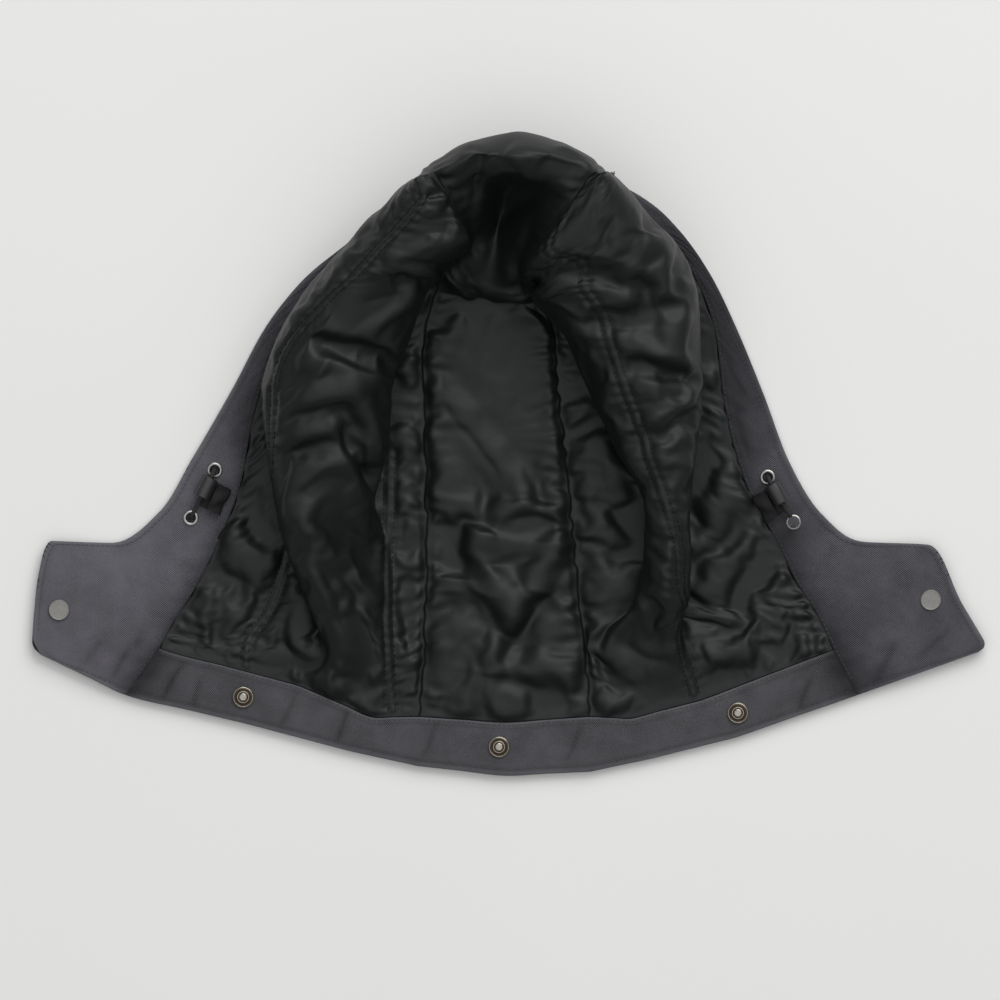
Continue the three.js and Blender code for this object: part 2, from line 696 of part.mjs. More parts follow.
// Barrel with a bore for the cord and a cup at its lower end, along +Y
function cordLock() {
  const bore = cordRadius + clearance + 0.3;
  const cup = lockRadius - lockCupWall;
  const half = lockLength / 2;
  const points = [
    [bore, half],
    [0.9 * lockRadius, half],
    [lockRadius, half - 0.1 * lockRadius],
    [lockRadius, -half],
    [cup, -half],
    [cup, -half + lockCupDepth],
    [bore, -half + lockCupDepth],
    [bore, half],
  ].reverse();
  return new THREE.LatheGeometry(points.map(([radius, height]) => new THREE.Vector2(radius, height)), 14);
}

const lockAxisHeight = canvasBed + 2 * clearance + tapeThickness + lockRadius;

// The cord's frame on one side: its ends at the eyelets and the way between them
function cordFrame(side) {
  const place = eyeletPlaces[side];
  const lower = plan(place.lower[0], place.lower[1], 0);
  const upper = plan(place.upper[0], place.upper[1], 0);
  const along = upper.clone().sub(lower).normalize();
  const centre = between(lower, upper, lockPlace);
  centre.z = lockAxisHeight;
  return { lower, upper, along, centre };
}

function drawCord(side) {
  const { lower, upper, along, centre } = cordFrame(side);
  const foot = canvas + layerGap + clearance;
  const lipHeight = canvasBed + clearance + eyeletRise;
  const arc = lockAxisHeight - lipHeight;
  const path = new THREE.CatmullRomCurve3([
    lower.clone().setZ(foot),
    lower.clone().setZ(lipHeight),
    lower.clone().addScaledVector(along, 0.55 * arc).setZ(lipHeight + 0.45 * arc),
    centre.clone().addScaledVector(along, -lockLength / 2 + lockCupDepth),
    centre.clone().addScaledVector(along, lockLength / 2),
    upper.clone().addScaledVector(along, -0.05 * arc).setZ(lipHeight + 0.62 * arc),
    upper.clone().setZ(lipHeight),
    upper.clone().setZ(foot),
  ], false, "centripetal");
  const section = new THREE.Shape();
  section.absarc(0, 0, cordRadius, 0, 2 * Math.PI);
  return new THREE.ExtrudeGeometry(section, { steps: 16, extrudePath: path, curveSegments: 4, bevelEnabled: false });
}

// Outline of a ribbon of the tape's thickness along a run of points in the plane
function ribbon(run) {
  const curve = new THREE.SplineCurve(run.map(([x, y]) => new THREE.Vector2(x, y)));
  const steps = 14;
  const sides = [[], []];
  for (let i = 0; i <= steps; i += 1) {
    const point = curve.getPoint(i / steps);
    const tangent = curve.getTangent(i / steps);
    const across = new THREE.Vector2(-tangent.y, tangent.x).multiplyScalar(tapeThickness / 2);
    sides[0].push(point.clone().add(across));
    sides[1].push(point.clone().sub(across));
  }
  return new THREE.Shape([...sides[0], ...sides[1].reverse()]);
}

// Tape loop from under the lock to the lining seam and back to the lock's side
function lockTab(side) {
  const far = tabReach[side];
  const low = tapeThickness / 2 + clearance;
  const rise = lockRadius + tapeThickness;
  const near = lockRadius + clearance + tapeThickness / 2;
  const shape = ribbon([
    [-0.3 * lockRadius, low],
    [0.5 * far, low],
    [far - 0.6 * rise, low + 0.03 * rise],
    [far - 0.15 * rise, 0.4 * rise],
    [far - 0.7 * rise, 0.75 * rise],
    [near + 0.3, rise],
  ]);
  const geometry = new THREE.ExtrudeGeometry(shape, { depth: tapeWidth, bevelEnabled: false });
  geometry.translate(0, 0, -tapeWidth / 2);
  geometry.rotateX(Math.PI / 2);
  return geometry;
}

const hood = new THREE.Group();

function add(name, geometry, material, parent = hood) {
  const mesh = new THREE.Mesh(geometry, material);
  mesh.name = name;
  parent.add(mesh);
  return mesh;
}

// Row and column ranges of the pieces
const lastRow = sampleStations.length - 1;
const bandRows = [0, stationRow.neck];
const liningRows = [stationRow.neck, stationRow.facingSeam];
const sideRows = [0, stationRow.facingSeam]; // the side panels end in a point under the crown
const railSides = { left: ["right"], centre: ["left", "right"], right: ["left"] };

// Shell panels, with holes for the snaps' posts
const through = postRadius + clearance;
const snapHoles = (places) => places.map((place) => hole(place, through, -1, canvasBed + flapLift + 1));
const shellHoles = {
  left: snapHoles([bandSnapPlaces.left, flapSnapPlaces.left]),
  centre: snapHoles([bandSnapPlaces.centre]),
  right: snapHoles([bandSnapPlaces.right, flapSnapPlaces.right]),
};
const shellColumns = { left: [0, sideLast], centre: [0, centreLast], right: [0, sideLast] };
Object.keys(grids).forEach((name) => {
  const rows = name === "centre" ? [0, lastRow] : sideRows;
  const cells = drawBack(patch(name, rows, shellColumns[name]), railSides[name]);
  add(`shell_${name}`, cut(shellSheet(cells), shellHoles[name]), materials.canvas);
});

// Facings with their throat flaps, and the facing under the crown
["left", "right"].forEach((name) => {
  const cells = drawBack(patch(name, sideRows, facingRange[name]), railSides[name]);
  const places = Object.values(eyeletPlaces[name]);
  const eyeletHole = eyeletBore + eyeletWall + clearance;
  const holes = places.map((place) => hole(place, eyeletHole, 0, canvasBed + 1));
  add(`facing_${name}`, cut(insideSheet(cells), [...holes, ...snapHoles([flapSnapPlaces[name]])]), materials.facing);
});
const crownFacing = patch("centre", [stationRow.facingSeam, lastRow], [0, centreLast]);
add("facing_crown", insideSheet(drawBack(crownFacing, ["left", "right", "bottom"])), materials.facing);

// Neck band across all three panels
const bandLeft = patch("left", bandRows, liningRange.left);
const bandCentre = patch("centre", bandRows, liningRange.centre);
const bandRight = patch("right", bandRows, liningRange.right);
const bandCells = bandLeft.map((line, i) => [...line, ...bandCentre[i].slice(1), ...bandRight[i].slice(1)]);
const band = insideSheet(drawBack(bandCells, ["left", "right", "top"]));
add("neck_band", cut(band, snapHoles(Object.values(bandSnapPlaces))), materials.facing);

// Lining panels
Object.keys(grids).forEach((name) => {
  const ends = ["left", "right", "bottom", ...(name === "centre" ? ["top"] : [])];
  add(`lining_${name}`, insideSheet(drawBack(patch(name, liningRows, liningRange[name]), ends)), materials.lining);
});

// Snaps
Object.entries(bandSnapPlaces).forEach(([name, place]) => {
  add(`snap_stud_${name}`, bandSnap(), materials.metal).position.copy(plan(place[0], place[1], 0));
});
Object.entries(flapSnapPlaces).forEach(([name, place]) => {
  add(`flap_snap_${name}`, flapSnap(), materials.metal).position.copy(plan(place[0], place[1], 0));
});

// Eyelets, cords, cord locks and their tape loops
["left", "right"].forEach((side) => {
  Object.entries(eyeletPlaces[side]).forEach(([level, place]) => {
    add(`eyelet_${side}_${level}`, eyelet(), materials.metal).position.copy(plan(place[0], place[1], 0));
  });
  add(`draw_cord_${side}`, drawCord(side), materials.cord);
  const { along, centre } = cordFrame(side);
  const turn = Math.atan2(along.y, along.x) - Math.PI / 2;
  const lock = add(`cord_lock_${side}`, cordLock(), materials.plastic);
  lock.position.copy(centre);
  lock.rotation.z = turn;
  const tab = add(`lock_tab_${side}`, lockTab(side), materials.tape);
  tab.position.set(centre.x, centre.y, canvasBed);
  tab.rotation.z = turn + (side === "left" ? 0 : Math.PI);
});

export default hood;
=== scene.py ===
# Looks of a detachable hood that lies on its back with the inside up.
# Lengths are in millimetres until a mesh is made. +X runs from the left throat flap
# to the right one, +Y to the crown and +Z up.
import math

import bmesh
import bpy
import numpy as np
from mathutils import Matrix, Vector


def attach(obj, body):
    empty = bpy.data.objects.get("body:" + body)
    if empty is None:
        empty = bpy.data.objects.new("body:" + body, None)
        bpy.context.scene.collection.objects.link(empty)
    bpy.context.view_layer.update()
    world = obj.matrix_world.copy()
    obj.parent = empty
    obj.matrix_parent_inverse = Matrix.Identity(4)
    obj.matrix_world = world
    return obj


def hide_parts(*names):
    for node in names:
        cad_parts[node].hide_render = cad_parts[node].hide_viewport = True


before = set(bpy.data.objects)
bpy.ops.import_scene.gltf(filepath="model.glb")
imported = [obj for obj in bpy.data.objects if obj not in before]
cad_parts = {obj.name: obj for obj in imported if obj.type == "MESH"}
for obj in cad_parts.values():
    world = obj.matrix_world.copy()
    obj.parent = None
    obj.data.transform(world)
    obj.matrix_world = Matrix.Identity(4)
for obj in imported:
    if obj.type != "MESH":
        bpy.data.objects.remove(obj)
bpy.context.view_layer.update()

MM = 0.001

# Overall size
SPAN = 577.0  # tip to tip over the throat flaps
REACH = 386.0  # hem to crown
CROWN_RISE = 88.0

# Cloth
CANVAS = 1.4
PADDED = 3.0
CLEARANCE = 0.3
LAYER_GAP = 0.4
SEAM_GAP = 0.15

# Hard pieces
SNAP_RADIUS = 6.3
STUD_RADIUS = 2.5
STUD_HEIGHT = 3.9
COLLAR_RADIUS = 3.6
RIM_HEIGHT = 1.3
PLATE_THICKNESS = 1.2
PLATE_RADIUS = 5.5
POST_RADIUS = 1.6
SOCKET_HEIGHT = 3.1
SOCKET_BORE = 2.8
CAP_HEIGHT = 0.9
EYELET_RADIUS = 4.7
EYELET_BORE = 2.5
EYELET_WALL = 0.6
EYELET_RISE = 0.8
CORD_RADIUS = 1.3
LOCK_RADIUS = 5.0
LOCK_LENGTH = 13.0
LOCK_CUP_DEPTH = 3.5
LOCK_CUP_WALL = 1.1
TAPE_THICKNESS = 0.8
TAPE_SPREAD = 17.0  # width of the tape where its folds open
TAB_REACH = 15.0

CANVAS_BED = 2 * CANVAS + LAYER_GAP
PADDED_BED = CANVAS + LAYER_GAP + PADDED
BAND_LIFT = PLATE_THICKNESS + CLEARANCE
FLAP_LIFT = SOCKET_HEIGHT + CLEARANCE
FLAP_DROOP = 0.2

# Rolls
UNDERCUT = 9.0
INNER_UNDERCUT = 5.0
SEAM_VALLEY = 12.0
VALLEY_TURN = 4.0
FULL_FOLD = 0.36
CLIFF = [(0.4, 0.08), (0.7, 0.28), (0.88, 0.52), (0.97, 0.76)]

# Stations along the hood from the hem to the face edge, as shares of the panel seam's length
STATION_NAMES = ["hem", "neck", "nape", "low", "mid", "ear", "temple", "high", "cave", "wall",
                 "pinch", "shoulder", "crown", "back", "facing_seam", "face_edge"]
STATIONS = np.array([0, 0.064, 0.146, 0.226, 0.312, 0.391, 0.471, 0.535, 0.582, 0.638,
                     0.693, 0.762, 0.829, 0.879, 0.945, 1])
AT = dict(zip(STATION_NAMES, STATIONS))

# One row for each station: the face edge, the facing seam, the roll's outer and inner sides, its crest
# and the panel seam. X is a share of SPAN, Y of REACH, heights of CROWN_RISE.
SIDE_COLUMNS = ["edge_x", "edge_y", "seam_x", "seam_y", "seam_z", "out_x", "out_y",
                "in_x", "in_y", "crest", "rail_x", "rail_y", "rail_z"]
LEFT_ROWS = [
    [-0.497, -0.305, -0.398, -0.375, 0, -0.269, -0.421, -0.165, -0.462, 0, -0.095, -0.485, 0],
    [-0.490, -0.193, -0.364, -0.302, 0, -0.217, -0.362, -0.142, -0.410, 0, -0.093, -0.409, 0],
    [-0.475, -0.135, -0.350, -0.264, 0, -0.192, -0.305, -0.113, -0.320, 0.20, -0.088, -0.305, 0],
    [-0.413, -0.138, -0.330, -0.218, 0, -0.217, -0.208, -0.126, -0.215, 0.38, -0.086, -0.204, 0],
    [-0.363, -0.089, -0.307, -0.152, 0, -0.241, -0.103, -0.142, -0.090, 0.49, -0.086, -0.095, 0],
    [-0.329, -0.006, -0.279, -0.045, 0, -0.252, 0.006, -0.126, 0.011, 0.57, -0.087, 0.006, 0],
    [-0.287, 0.103, -0.265, 0.064, 0, -0.257, 0.099, -0.121, 0.103, 0.64, -0.089, 0.107, 0],
    [-0.251, 0.202, -0.235, 0.185, 0, -0.239, 0.188, -0.102, 0.180, 0.69, -0.088, 0.190, 0],
    [-0.212, 0.274, -0.199, 0.253, 0, -0.216, 0.246, -0.084, 0.255, 0.76, -0.078, 0.247, 0.05],
    [-0.172, 0.323, -0.158, 0.303, 0, -0.183, 0.302, -0.061, 0.289, 0.83, -0.064, 0.292, 0.34],
    [-0.138, 0.364, -0.120, 0.326, 0.06, -0.150, 0.356, -0.043, 0.323, 0.90, -0.043, 0.328, 0.64],
    [-0.109, 0.396, -0.108, 0.373, 0.16, -0.118, 0.404, -0.055, 0.382, 0.95, -0.058, 0.390, 0.84],
    [-0.095, 0.406, -0.102, 0.409, 0.28, -0.103, 0.424, -0.088, 0.435, 0.95, -0.080, 0.437, 0.93],
    [-0.085, 0.413, -0.095, 0.423, 0.30, -0.093, 0.438, -0.089, 0.445, 0.68, -0.089, 0.445, 0.66],
    [-0.077, 0.423, -0.085, 0.435, 0.30, -0.085, 0.435, -0.085, 0.435, 0.30, -0.085, 0.435, 0.30],
    [-0.070, 0.427, -0.070, 0.427, 0, -0.070, 0.427, -0.070, 0.427, 0, -0.070, 0.427, 0],
]
RIGHT_ROWS = [
    [0.499, -0.302, 0.362, -0.375, 0, 0.235, -0.441, 0.147, -0.474, 0, 0.084, -0.494, 0],
    [0.471, -0.232, 0.338, -0.305, 0, 0.199, -0.384, 0.126, -0.412, 0, 0.084, -0.409, 0],
    [0.436, -0.141, 0.318, -0.244, 0, 0.181, -0.277, 0.107, -0.314, 0.20, 0.079, -0.305, 0],
    [0.367, -0.136, 0.301, -0.205, 0, 0.189, -0.207, 0.136, -0.201, 0.40, 0.072, -0.204, 0],
    [0.325, -0.093, 0.278, -0.135, 0, 0.188, -0.106, 0.142, -0.095, 0.50, 0.064, -0.095, 0],
    [0.292, -0.014, 0.244, -0.037, 0, 0.195, 0.006, 0.112, 0.006, 0.58, 0.058, 0.006, 0],
    [0.264, 0.096, 0.224, 0.078, 0, 0.201, 0.095, 0.084, 0.096, 0.65, 0.050, 0.107, 0],
    [0.235, 0.201, 0.215, 0.187, 0, 0.200, 0.190, 0.055, 0.190, 0.70, 0.045, 0.185, 0],
    [0.211, 0.275, 0.197, 0.264, 0, 0.194, 0.263, 0.028, 0.235, 0.76, 0.032, 0.230, 0.05],
    [0.182, 0.339, 0.168, 0.323, 0, 0.175, 0.323, 0.016, 0.267, 0.83, 0.020, 0.261, 0.34],
    [0.153, 0.384, 0.129, 0.344, 0.07, 0.149, 0.365, 0.010, 0.284, 0.90, 0.015, 0.286, 0.62],
    [0.124, 0.412, 0.114, 0.387, 0.16, 0.120, 0.415, 0.041, 0.345, 0.95, 0.045, 0.354, 0.83],
    [0.107, 0.423, 0.111, 0.421, 0.28, 0.103, 0.438, 0.093, 0.437, 0.95, 0.090, 0.438, 0.93],
    [0.100, 0.431, 0.103, 0.435, 0.30, 0.098, 0.443, 0.096, 0.446, 0.68, 0.096, 0.448, 0.66],
    [0.093, 0.438, 0.093, 0.445, 0.30, 0.093, 0.445, 0.093, 0.445, 0.30, 0.093, 0.445, 0.30],
    [0.086, 0.440, 0.086, 0.440, 0, 0.086, 0.440, 0.086, 0.440, 0, 0.086, 0.440, 0],
]
LEFT_SIDE = {"rows": np.array(LEFT_ROWS), "hang_from": ("low", "ear")}
RIGHT_SIDE = {"rows": np.array(RIGHT_ROWS), "hang_from": ("nape", "low")}
MIDDLE_ROWS = np.array([
    [-0.005, -0.500, 0], [-0.004, -0.418, 0], [-0.004, -0.305, 0], [-0.006, -0.204, 0],
    [-0.009, -0.095, 0], [-0.014, 0.006, 0], [-0.019, 0.107, 0], [-0.022, 0.185, 0],
    [-0.022, 0.232, 0.01], [-0.021, 0.263, 0.05], [-0.016, 0.309, 0.11], [-0.003, 0.404, 0.26],
    [0.006, 0.469, 1], [0.008, 0.501, 0.70], [0.008, 0.488, 0.31], [0.008, 0.455, 0],
])

# The middle between the shoulder and the crown: up the back of the hollow and out under its roof
ROOF_AT = np.array([0, 0.30, 0.58, 1.0])
ROOF_ROWS = np.array([
    [-0.003, 0.404, 0.26], [0.006, 0.428, 0.58], [0.010, 0.434, 0.92], [0.006, 0.469, 1],
])
CROWN_BULGE = 4.5  # how far the crown swells backwards
CORNER_RADIUS = 6.5  # of the flaps' outer corners
HOLLOW_ROOM = 2.6  # extra depth under the lining at the tight bends of the hollow

# Places of the hard pieces in plan, as shares of SPAN and REACH
BAND_SNAPS = {"left": (-0.2765, -0.378), "centre": (-0.0104, -0.4555), "right": (0.238, -0.4026)}
FLAP_SNAPS = {"left": (-0.468, -0.2425), "right": (0.4387, -0.227)}
EYELETS = {
    "left": {"upper": (-0.306, -0.025), "lower": (-0.331, -0.0995)},
    "right": {"upper": (0.269, -0.036), "lower": (0.296, -0.106)},
}
LOCK_PLACE = 0.64

# Fineness of the meshes
FINE_ROWS = 420
FACING_CELLS = 26
SIDE_CELLS = 168
CENTRE_CELLS = 64
EDGE_ROUNDING = 0.22  # of the hard pieces
COARSER = 4  # hidden undersides have cells this many times as long
TINY = 1e-9

rng = np.random.default_rng(7)


def ramp(value, low, high):
    share = np.clip((value - low) / (high - low), 0, 1)
    return share * share * (3 - 2 * share)


def between(a, b, share):
    return a + (b - a) * share


def plan(x, y, z=0.0):
    return np.array([x * SPAN, y * REACH, z])


def curve(knots, values, t, level=False):
    """Smooth curve through values at rising knots. A level curve never overshoots its values."""
    knots = np.asarray(knots, float)
    values = np.asarray(values, float).reshape(len(knots), -1)
    step = np.diff(knots)[:, None]
    rise = np.diff(values, axis=0) / step
    slope = np.empty_like(values)
    slope[0], slope[-1] = rise[0], rise[-1]
    before, after, left, right = rise[:-1], rise[1:], step[:-1], step[1:]
    if level:
        same = before * after > 0
        safe_before, safe_after = np.where(same, before, 1), np.where(same, after, 1)
        mean = 3 * (left + right) / ((2 * right + left) / safe_before + (right + 2 * left) / safe_after)
        slope[1:-1] = np.where(same, mean, 0)
    else:
        slope[1:-1] = (before * right + after * left) / (left + right)
    t = np.atleast_1d(np.asarray(t, float))
    i = np.clip(np.searchsorted(knots, t, side="right") - 1, 0, len(knots) - 2)
    width = step[i]
    s = np.clip((t - knots[i])[:, None] / width, 0, 1)
    a, b, high = slope[i] * width, slope[i + 1] * width, values[i + 1] - values[i]
    return values[i] + s * (a + s * (3 * high - 2 * a - b + s * (a + b - 2 * high)))


def length_along(path):
    return np.concatenate([[0], np.cumsum(np.linalg.norm(np.diff(path, axis=0), axis=1))])


def knots_of(points, least=0.0):
    """Knots for a curve through points. They lie closer where the points do."""
    reach = np.linalg.norm(np.diff(points, axis=0), axis=1)
    return np.concatenate([[0], np.cumsum(np.maximum(np.sqrt(reach), least))])


def bed_lifts(at):
    """Height of the inside surface over the floor, and what the band adds to it."""
    wadding = ramp(at, AT["neck"], AT["nape"]) * (1 - ramp(at, AT["back"], AT["facing_seam"]))
    band = BAND_LIFT * (1 - ramp(at, AT["neck"], AT["nape"]))
    return between(CANVAS_BED, PADDED_BED, wadding), band


def side_controls(side, at):
    """Control points of a side panel's section, from the face edge over the roll to the panel seam."""
    row = dict(zip(SIDE_COLUMNS, curve(STATIONS, side["rows"], at, level=True)[0]))
    plain_bed, band_lift = bed_lifts(at)
    bed = plain_bed + band_lift
    crest = row["crest"] * CROWN_RISE
    rail = row["rail_z"] * CROWN_RISE
    fold = ramp(row["crest"], 0, FULL_FOLD)
    rise = ramp(rail / crest, 0.1, 0.7) if crest > 0 else 0.0
    stand = ramp(at, AT["crown"], AT["back"])
    low, high = side["hang_from"]
    hang = fold * ramp(at, AT[low], AT[high])
    lift = ramp(row["seam_z"], 0, 0.2)
    flap_lift = FLAP_LIFT * (1 - ramp(at, AT["nape"], AT["low"]))

    edge = plan(row["edge_x"], row["edge_y"], CANVAS_BED + max(flap_lift, band_lift))
    seam = plan(row["seam_x"], row["seam_y"], CANVAS_BED + band_lift + row["seam_z"] * CROWN_RISE)
    flat = between(edge, seam, 0.55)
    if at < AT["low"]:
        flat[2] = edge[2] - FLAP_DROOP
    end = plan(row["rail_x"], row["rail_y"], CANVAS_BED + band_lift + rail)
    out = plan(row["out_x"], row["out_y"], bed + crest / 2)
    inner = plan(row["in_x"], row["in_y"], bed + crest / 2)

    over = (inner - out) * (1, 1, 0)
    over = over / max(np.linalg.norm(over), TINY)
    inward = (seam - edge) * (1, 1, 0)
    inward = inward / max(np.linalg.norm(inward), TINY)
    out_foot = out + over * UNDERCUT
    seam_foot = seam + inward * VALLEY_TURN
    ahead = np.dot(seam_foot - out_foot, over)
    foot = between(out_foot, seam_foot, ramp(ahead, -UNDERCUT / 2, UNDERCUT / 2))
    foot[2] = bed
    valley = between(between(seam, out, 0.5), foot, fold * (1 - lift))
    top = between(out, inner, between(0.24, 0.46, hang))
    top[2] = bed + crest
    out_top = between(out, top, 0.3)
    out_top[2] = bed + 0.86 * crest
    inner_top = between(inner, top, between(0.55, 0.3, hang))
    inner_top[2] = bed + between(rail, crest, between(0.62, 0.86, hang))
    inner[2] = bed + between(rail, crest, between(0.16, 0.5, hang))

    inner_foot = inner - over * INNER_UNDERCUT
    inner_foot[2] = bed + rail
    plain_inner = between(inner, end, 0.4)
    plain_inner[2] = bed + rail
    sheltered = between(plain_inner, inner_foot, hang)
    floor = between(sheltered, end, 0.5)
    floor[2] = sheltered[2]
    steep = rise * ramp(1 - rail / max(crest, 1), 0, 0.25)
    inside = []
    for k, point in enumerate((inner_top, inner, sheltered, floor)):
        share, drop = CLIFF[k]
        even = (k + 1) / (len(CLIFF) + 1)
        on_cliff = between(top, end, between(even, share, steep))
        on_cliff[2] = between(top[2], end[2], between(even, drop, steep))
        inside.append(between(point, on_cliff, rise))

    points = [edge, flat, seam, valley, out, out_top, top, *inside, end]
    walls = len(points) - 3
    for k in range(3, len(points)):
        points[k] = between(points[k], between(seam, end, (k - 2) / walls), stand)
    return np.array(points)


def centre_controls(at):
    """Control points across the centre panel, from the left panel seam to the right one."""
    left, right = side_controls(LEFT_SIDE, at)[-1], side_controls(RIGHT_SIDE, at)[-1]
    x, y, height = curve(STATIONS, MIDDLE_ROWS, at, level=True)[0]
    roof = (at - AT["shoulder"]) / (AT["crown"] - AT["shoulder"])
    if 0 < roof < 1:
        x, y, height = curve(ROOF_AT, ROOF_ROWS, roof, level=True)[0]
    plain_bed, band_lift = bed_lifts(at)
    middle = plan(x, y, plain_bed + band_lift + height * CROWN_RISE)
    sag = ramp(abs(middle[2] - (left[2] + right[2]) / 2) / CROWN_RISE, 0, 0.4)
    shelf = ramp(at, AT["pinch"], AT["shoulder"]) * (1 - ramp(at, AT["shoulder"], AT["crown"]))
    bulge = CROWN_BULGE * ramp(at, AT["shoulder"], AT["crown"])
    bulge *= 1 - ramp(at, AT["back"], AT["facing_seam"])
    quarters = []
    for end, reach, drop in ((left, 0.42, 0.30), (right, 0.36, 0.32)):
        point = between(end, middle, between(0.5 - 0.22 * sag, reach, shelf))
        point[2] = between(end[2], middle[2], between(0.5 + 0.24 * sag, drop, shelf))
        point[1] += bulge
        quarters.append(point)
    return np.array([left, quarters[0], middle, quarters[1], right])


def section(controls, spans):
    """Evenly spaced points along a section. spans lists (first control, last control, cells)."""
    knots = knots_of(controls, 0.01)
    points = []
    for first, last, cells in spans:
        t = np.linspace(knots[first], knots[last], 16 * (last - first) + 1)
        fine = curve(knots, controls, t)
        fine[:, 2] = curve(knots, controls[:, 2], t, level=True)[:, 0]
        run = length_along(fine)
        even = np.interp(np.linspace(0, run[-1], cells + 1), run, t)
        line = curve(knots, controls, even)
        line[:, 2] = curve(knots, controls[:, 2], even, level=True)[:, 0]
        points.append(line[1:] if points else line)
    return np.vstack(points)


# One grid over the whole inside surface: rows from the hem to the face edge,
# columns from the left face edge to the right one
rows_at = np.linspace(0, 1, FINE_ROWS + 1)
side_spans = [(0, 2, FACING_CELLS), (2, 11, SIDE_CELLS)]
surface = np.array([
    np.vstack([
        section(side_controls(LEFT_SIDE, at), side_spans)[:-1],
        section(centre_controls(at), [(0, 4, CENTRE_CELLS)])[:-1],
        section(side_controls(RIGHT_SIDE, at), side_spans)[::-1],
    ])
    for at in rows_at
])
LEFT_SEAM = FACING_CELLS
LEFT_RAIL = LEFT_SEAM + SIDE_CELLS
RIGHT_RAIL = LEFT_RAIL + CENTRE_CELLS
RIGHT_SEAM = RIGHT_RAIL + SIDE_CELLS
LAST = RIGHT_SEAM + FACING_CELLS
ROW = {name: int(round(at * FINE_ROWS)) for name, at in AT.items()}

INSIDE_ROWS = slice(ROW["neck"], ROW["facing_seam"] + 1)


def round_corners(points):
    """Draws the face edge back over its last millimetres, where the flaps' outer corners are round."""
    radius = CORNER_RADIUS
    for edge, step in ((0, 1), (LAST, -1)):
        run = length_along(points[:, edge])
        short = np.clip(radius - run, 0, radius)
        back = radius - np.sqrt(np.maximum(radius ** 2 - short ** 2, 0))
        for k in range(FACING_CELLS + 1):
            column = edge + step * k
            inner = points[:, edge + step * FACING_CELLS]
            way = inner - points[:, column]
            length = np.maximum(np.linalg.norm(way, axis=1), 1e-6)
            amount = back * (1 - k / FACING_CELLS)
            points[:, column] += way / length[:, None] * np.minimum(amount, length * 0.9)[:, None]


round_corners(surface)


# Shape helpers on the grid
def blurred(values, passes):
    """Each pass averages every value with its neighbours along both axes."""
    for _ in range(passes):
        for axis in (0, 1):
            ahead = np.concatenate([values.take(range(1, values.shape[axis]), axis),
                                    values.take([-1], axis)], axis)
            behind = np.concatenate([values.take([0], axis),
                                     values.take(range(values.shape[axis] - 1), axis)], axis)
            values = (ahead + 2 * values + behind) / 4
    return values


def normals_of(points, passes):
    raw = np.cross(np.gradient(points, axis=1), np.gradient(points, axis=0))
    raw = blurred(raw, passes)
    return raw / np.maximum(np.linalg.norm(raw, axis=-1, keepdims=True), TINY)


def running_length(points, axis):
    step = np.linalg.norm(np.diff(points, axis=axis), axis=-1)
    start = np.zeros_like(step.take([0], axis))
    return np.cumsum(np.concatenate([start, step], axis), axis)


def noise(u, v, seed):
    """Smooth random values from -1 to 1 over two coordinates whose unit is one bump."""
    size = 256
    table = np.random.default_rng(seed).uniform(-1, 1, (size, size))
    iu, iv = np.floor(u).astype(int), np.floor(v).astype(int)
    fu, fv = u - iu, v - iv
    fu, fv = fu * fu * (3 - 2 * fu), fv * fv * (3 - 2 * fv)

    def pick(a, b):
        return table[(iu + a) % size, (iv + b) % size]

    low = pick(0, 0) * (1 - fu) + pick(1, 0) * fu
    high = pick(0, 1) * (1 - fu) + pick(1, 1) * fu
    return low * (1 - fv) + high * fv


def seen_from_above(points):
    """True where nothing lies over a point, apart from what is less than a layer or two higher."""
    cell, layers = 2.5, 7
    i = ((points[..., 0] + SPAN) / cell).astype(int)
    j = ((points[..., 1] + REACH) / cell).astype(int)
    top = np.full((i.max() + 1, j.max() + 1), -1.0)
    np.maximum.at(top, (i, j), points[..., 2])
    return points[..., 2] > top[i, j] - layers


across = running_length(surface, 1)
upward = running_length(surface, 0)
seen = seen_from_above(surface)
seen[:, :LEFT_SEAM] = False
seen[:, RIGHT_SEAM:] = False
seen[:ROW["neck"]] = False


# Seams and quilting lines. A line keeps one column for each row it covers.
def trace(points):
    """The grid's columns along a line that is given in plan, as seen from above."""
    found = []
    for x, y in points:
        away = np.hypot(surface[..., 0] - x * SPAN, surface[..., 1] - y * REACH)
        away[~seen] = 1e6
        found.append(np.unravel_index(away.argmin(), away.shape))
    found.sort()
    rows = np.array([f[0] for f in found])
    keep = np.concatenate([[True], np.diff(rows) > 2])
    first, last = rows[keep][0], rows[keep][-1]
    columns = curve(rows[keep], np.array([f[1] for f in found])[keep], np.arange(first, last + 1))[:, 0]
    return first, last, columns


QUILTING = {  # points in plan, as shares of SPAN and REACH
    "left_outer": [(-0.274, -0.328), (-0.252, -0.250), (-0.232, -0.165), (-0.246, 0.076),
                   (-0.227, 0.175), (-0.183, 0.250), (-0.143, 0.309), (-0.113, 0.356), (-0.087, 0.402)],
    "left_inner": [(-0.120, -0.406), (-0.124, -0.310), (-0.126, -0.227), (-0.125, -0.100),
                   (-0.124, 0.006)],
    "right_outer": [(0.193, -0.382), (0.184, -0.320), (0.172, -0.121), (0.145, -0.008),
                    (0.122, 0.089), (0.103, 0.179), (0.084, 0.247), (0.066, 0.298), (0.043, 0.340)],
}
DOUBLE_STITCH = 3.2  # from a quilting line's middle to each of its two rows of stitches


def line_field(first, last, columns):
    """Signed distance from every point to a line, and how strongly the line holds there."""
    distance = np.full(across.shape, 1e3)
    for i in range(first, last + 1):
        distance[i] = across[i] - np.interp(columns[i - first], np.arange(across.shape[1]), across[i])
    hold = np.zeros(across.shape[0])
    hold[first:last + 1] = 1
    return distance, hold[:, None]


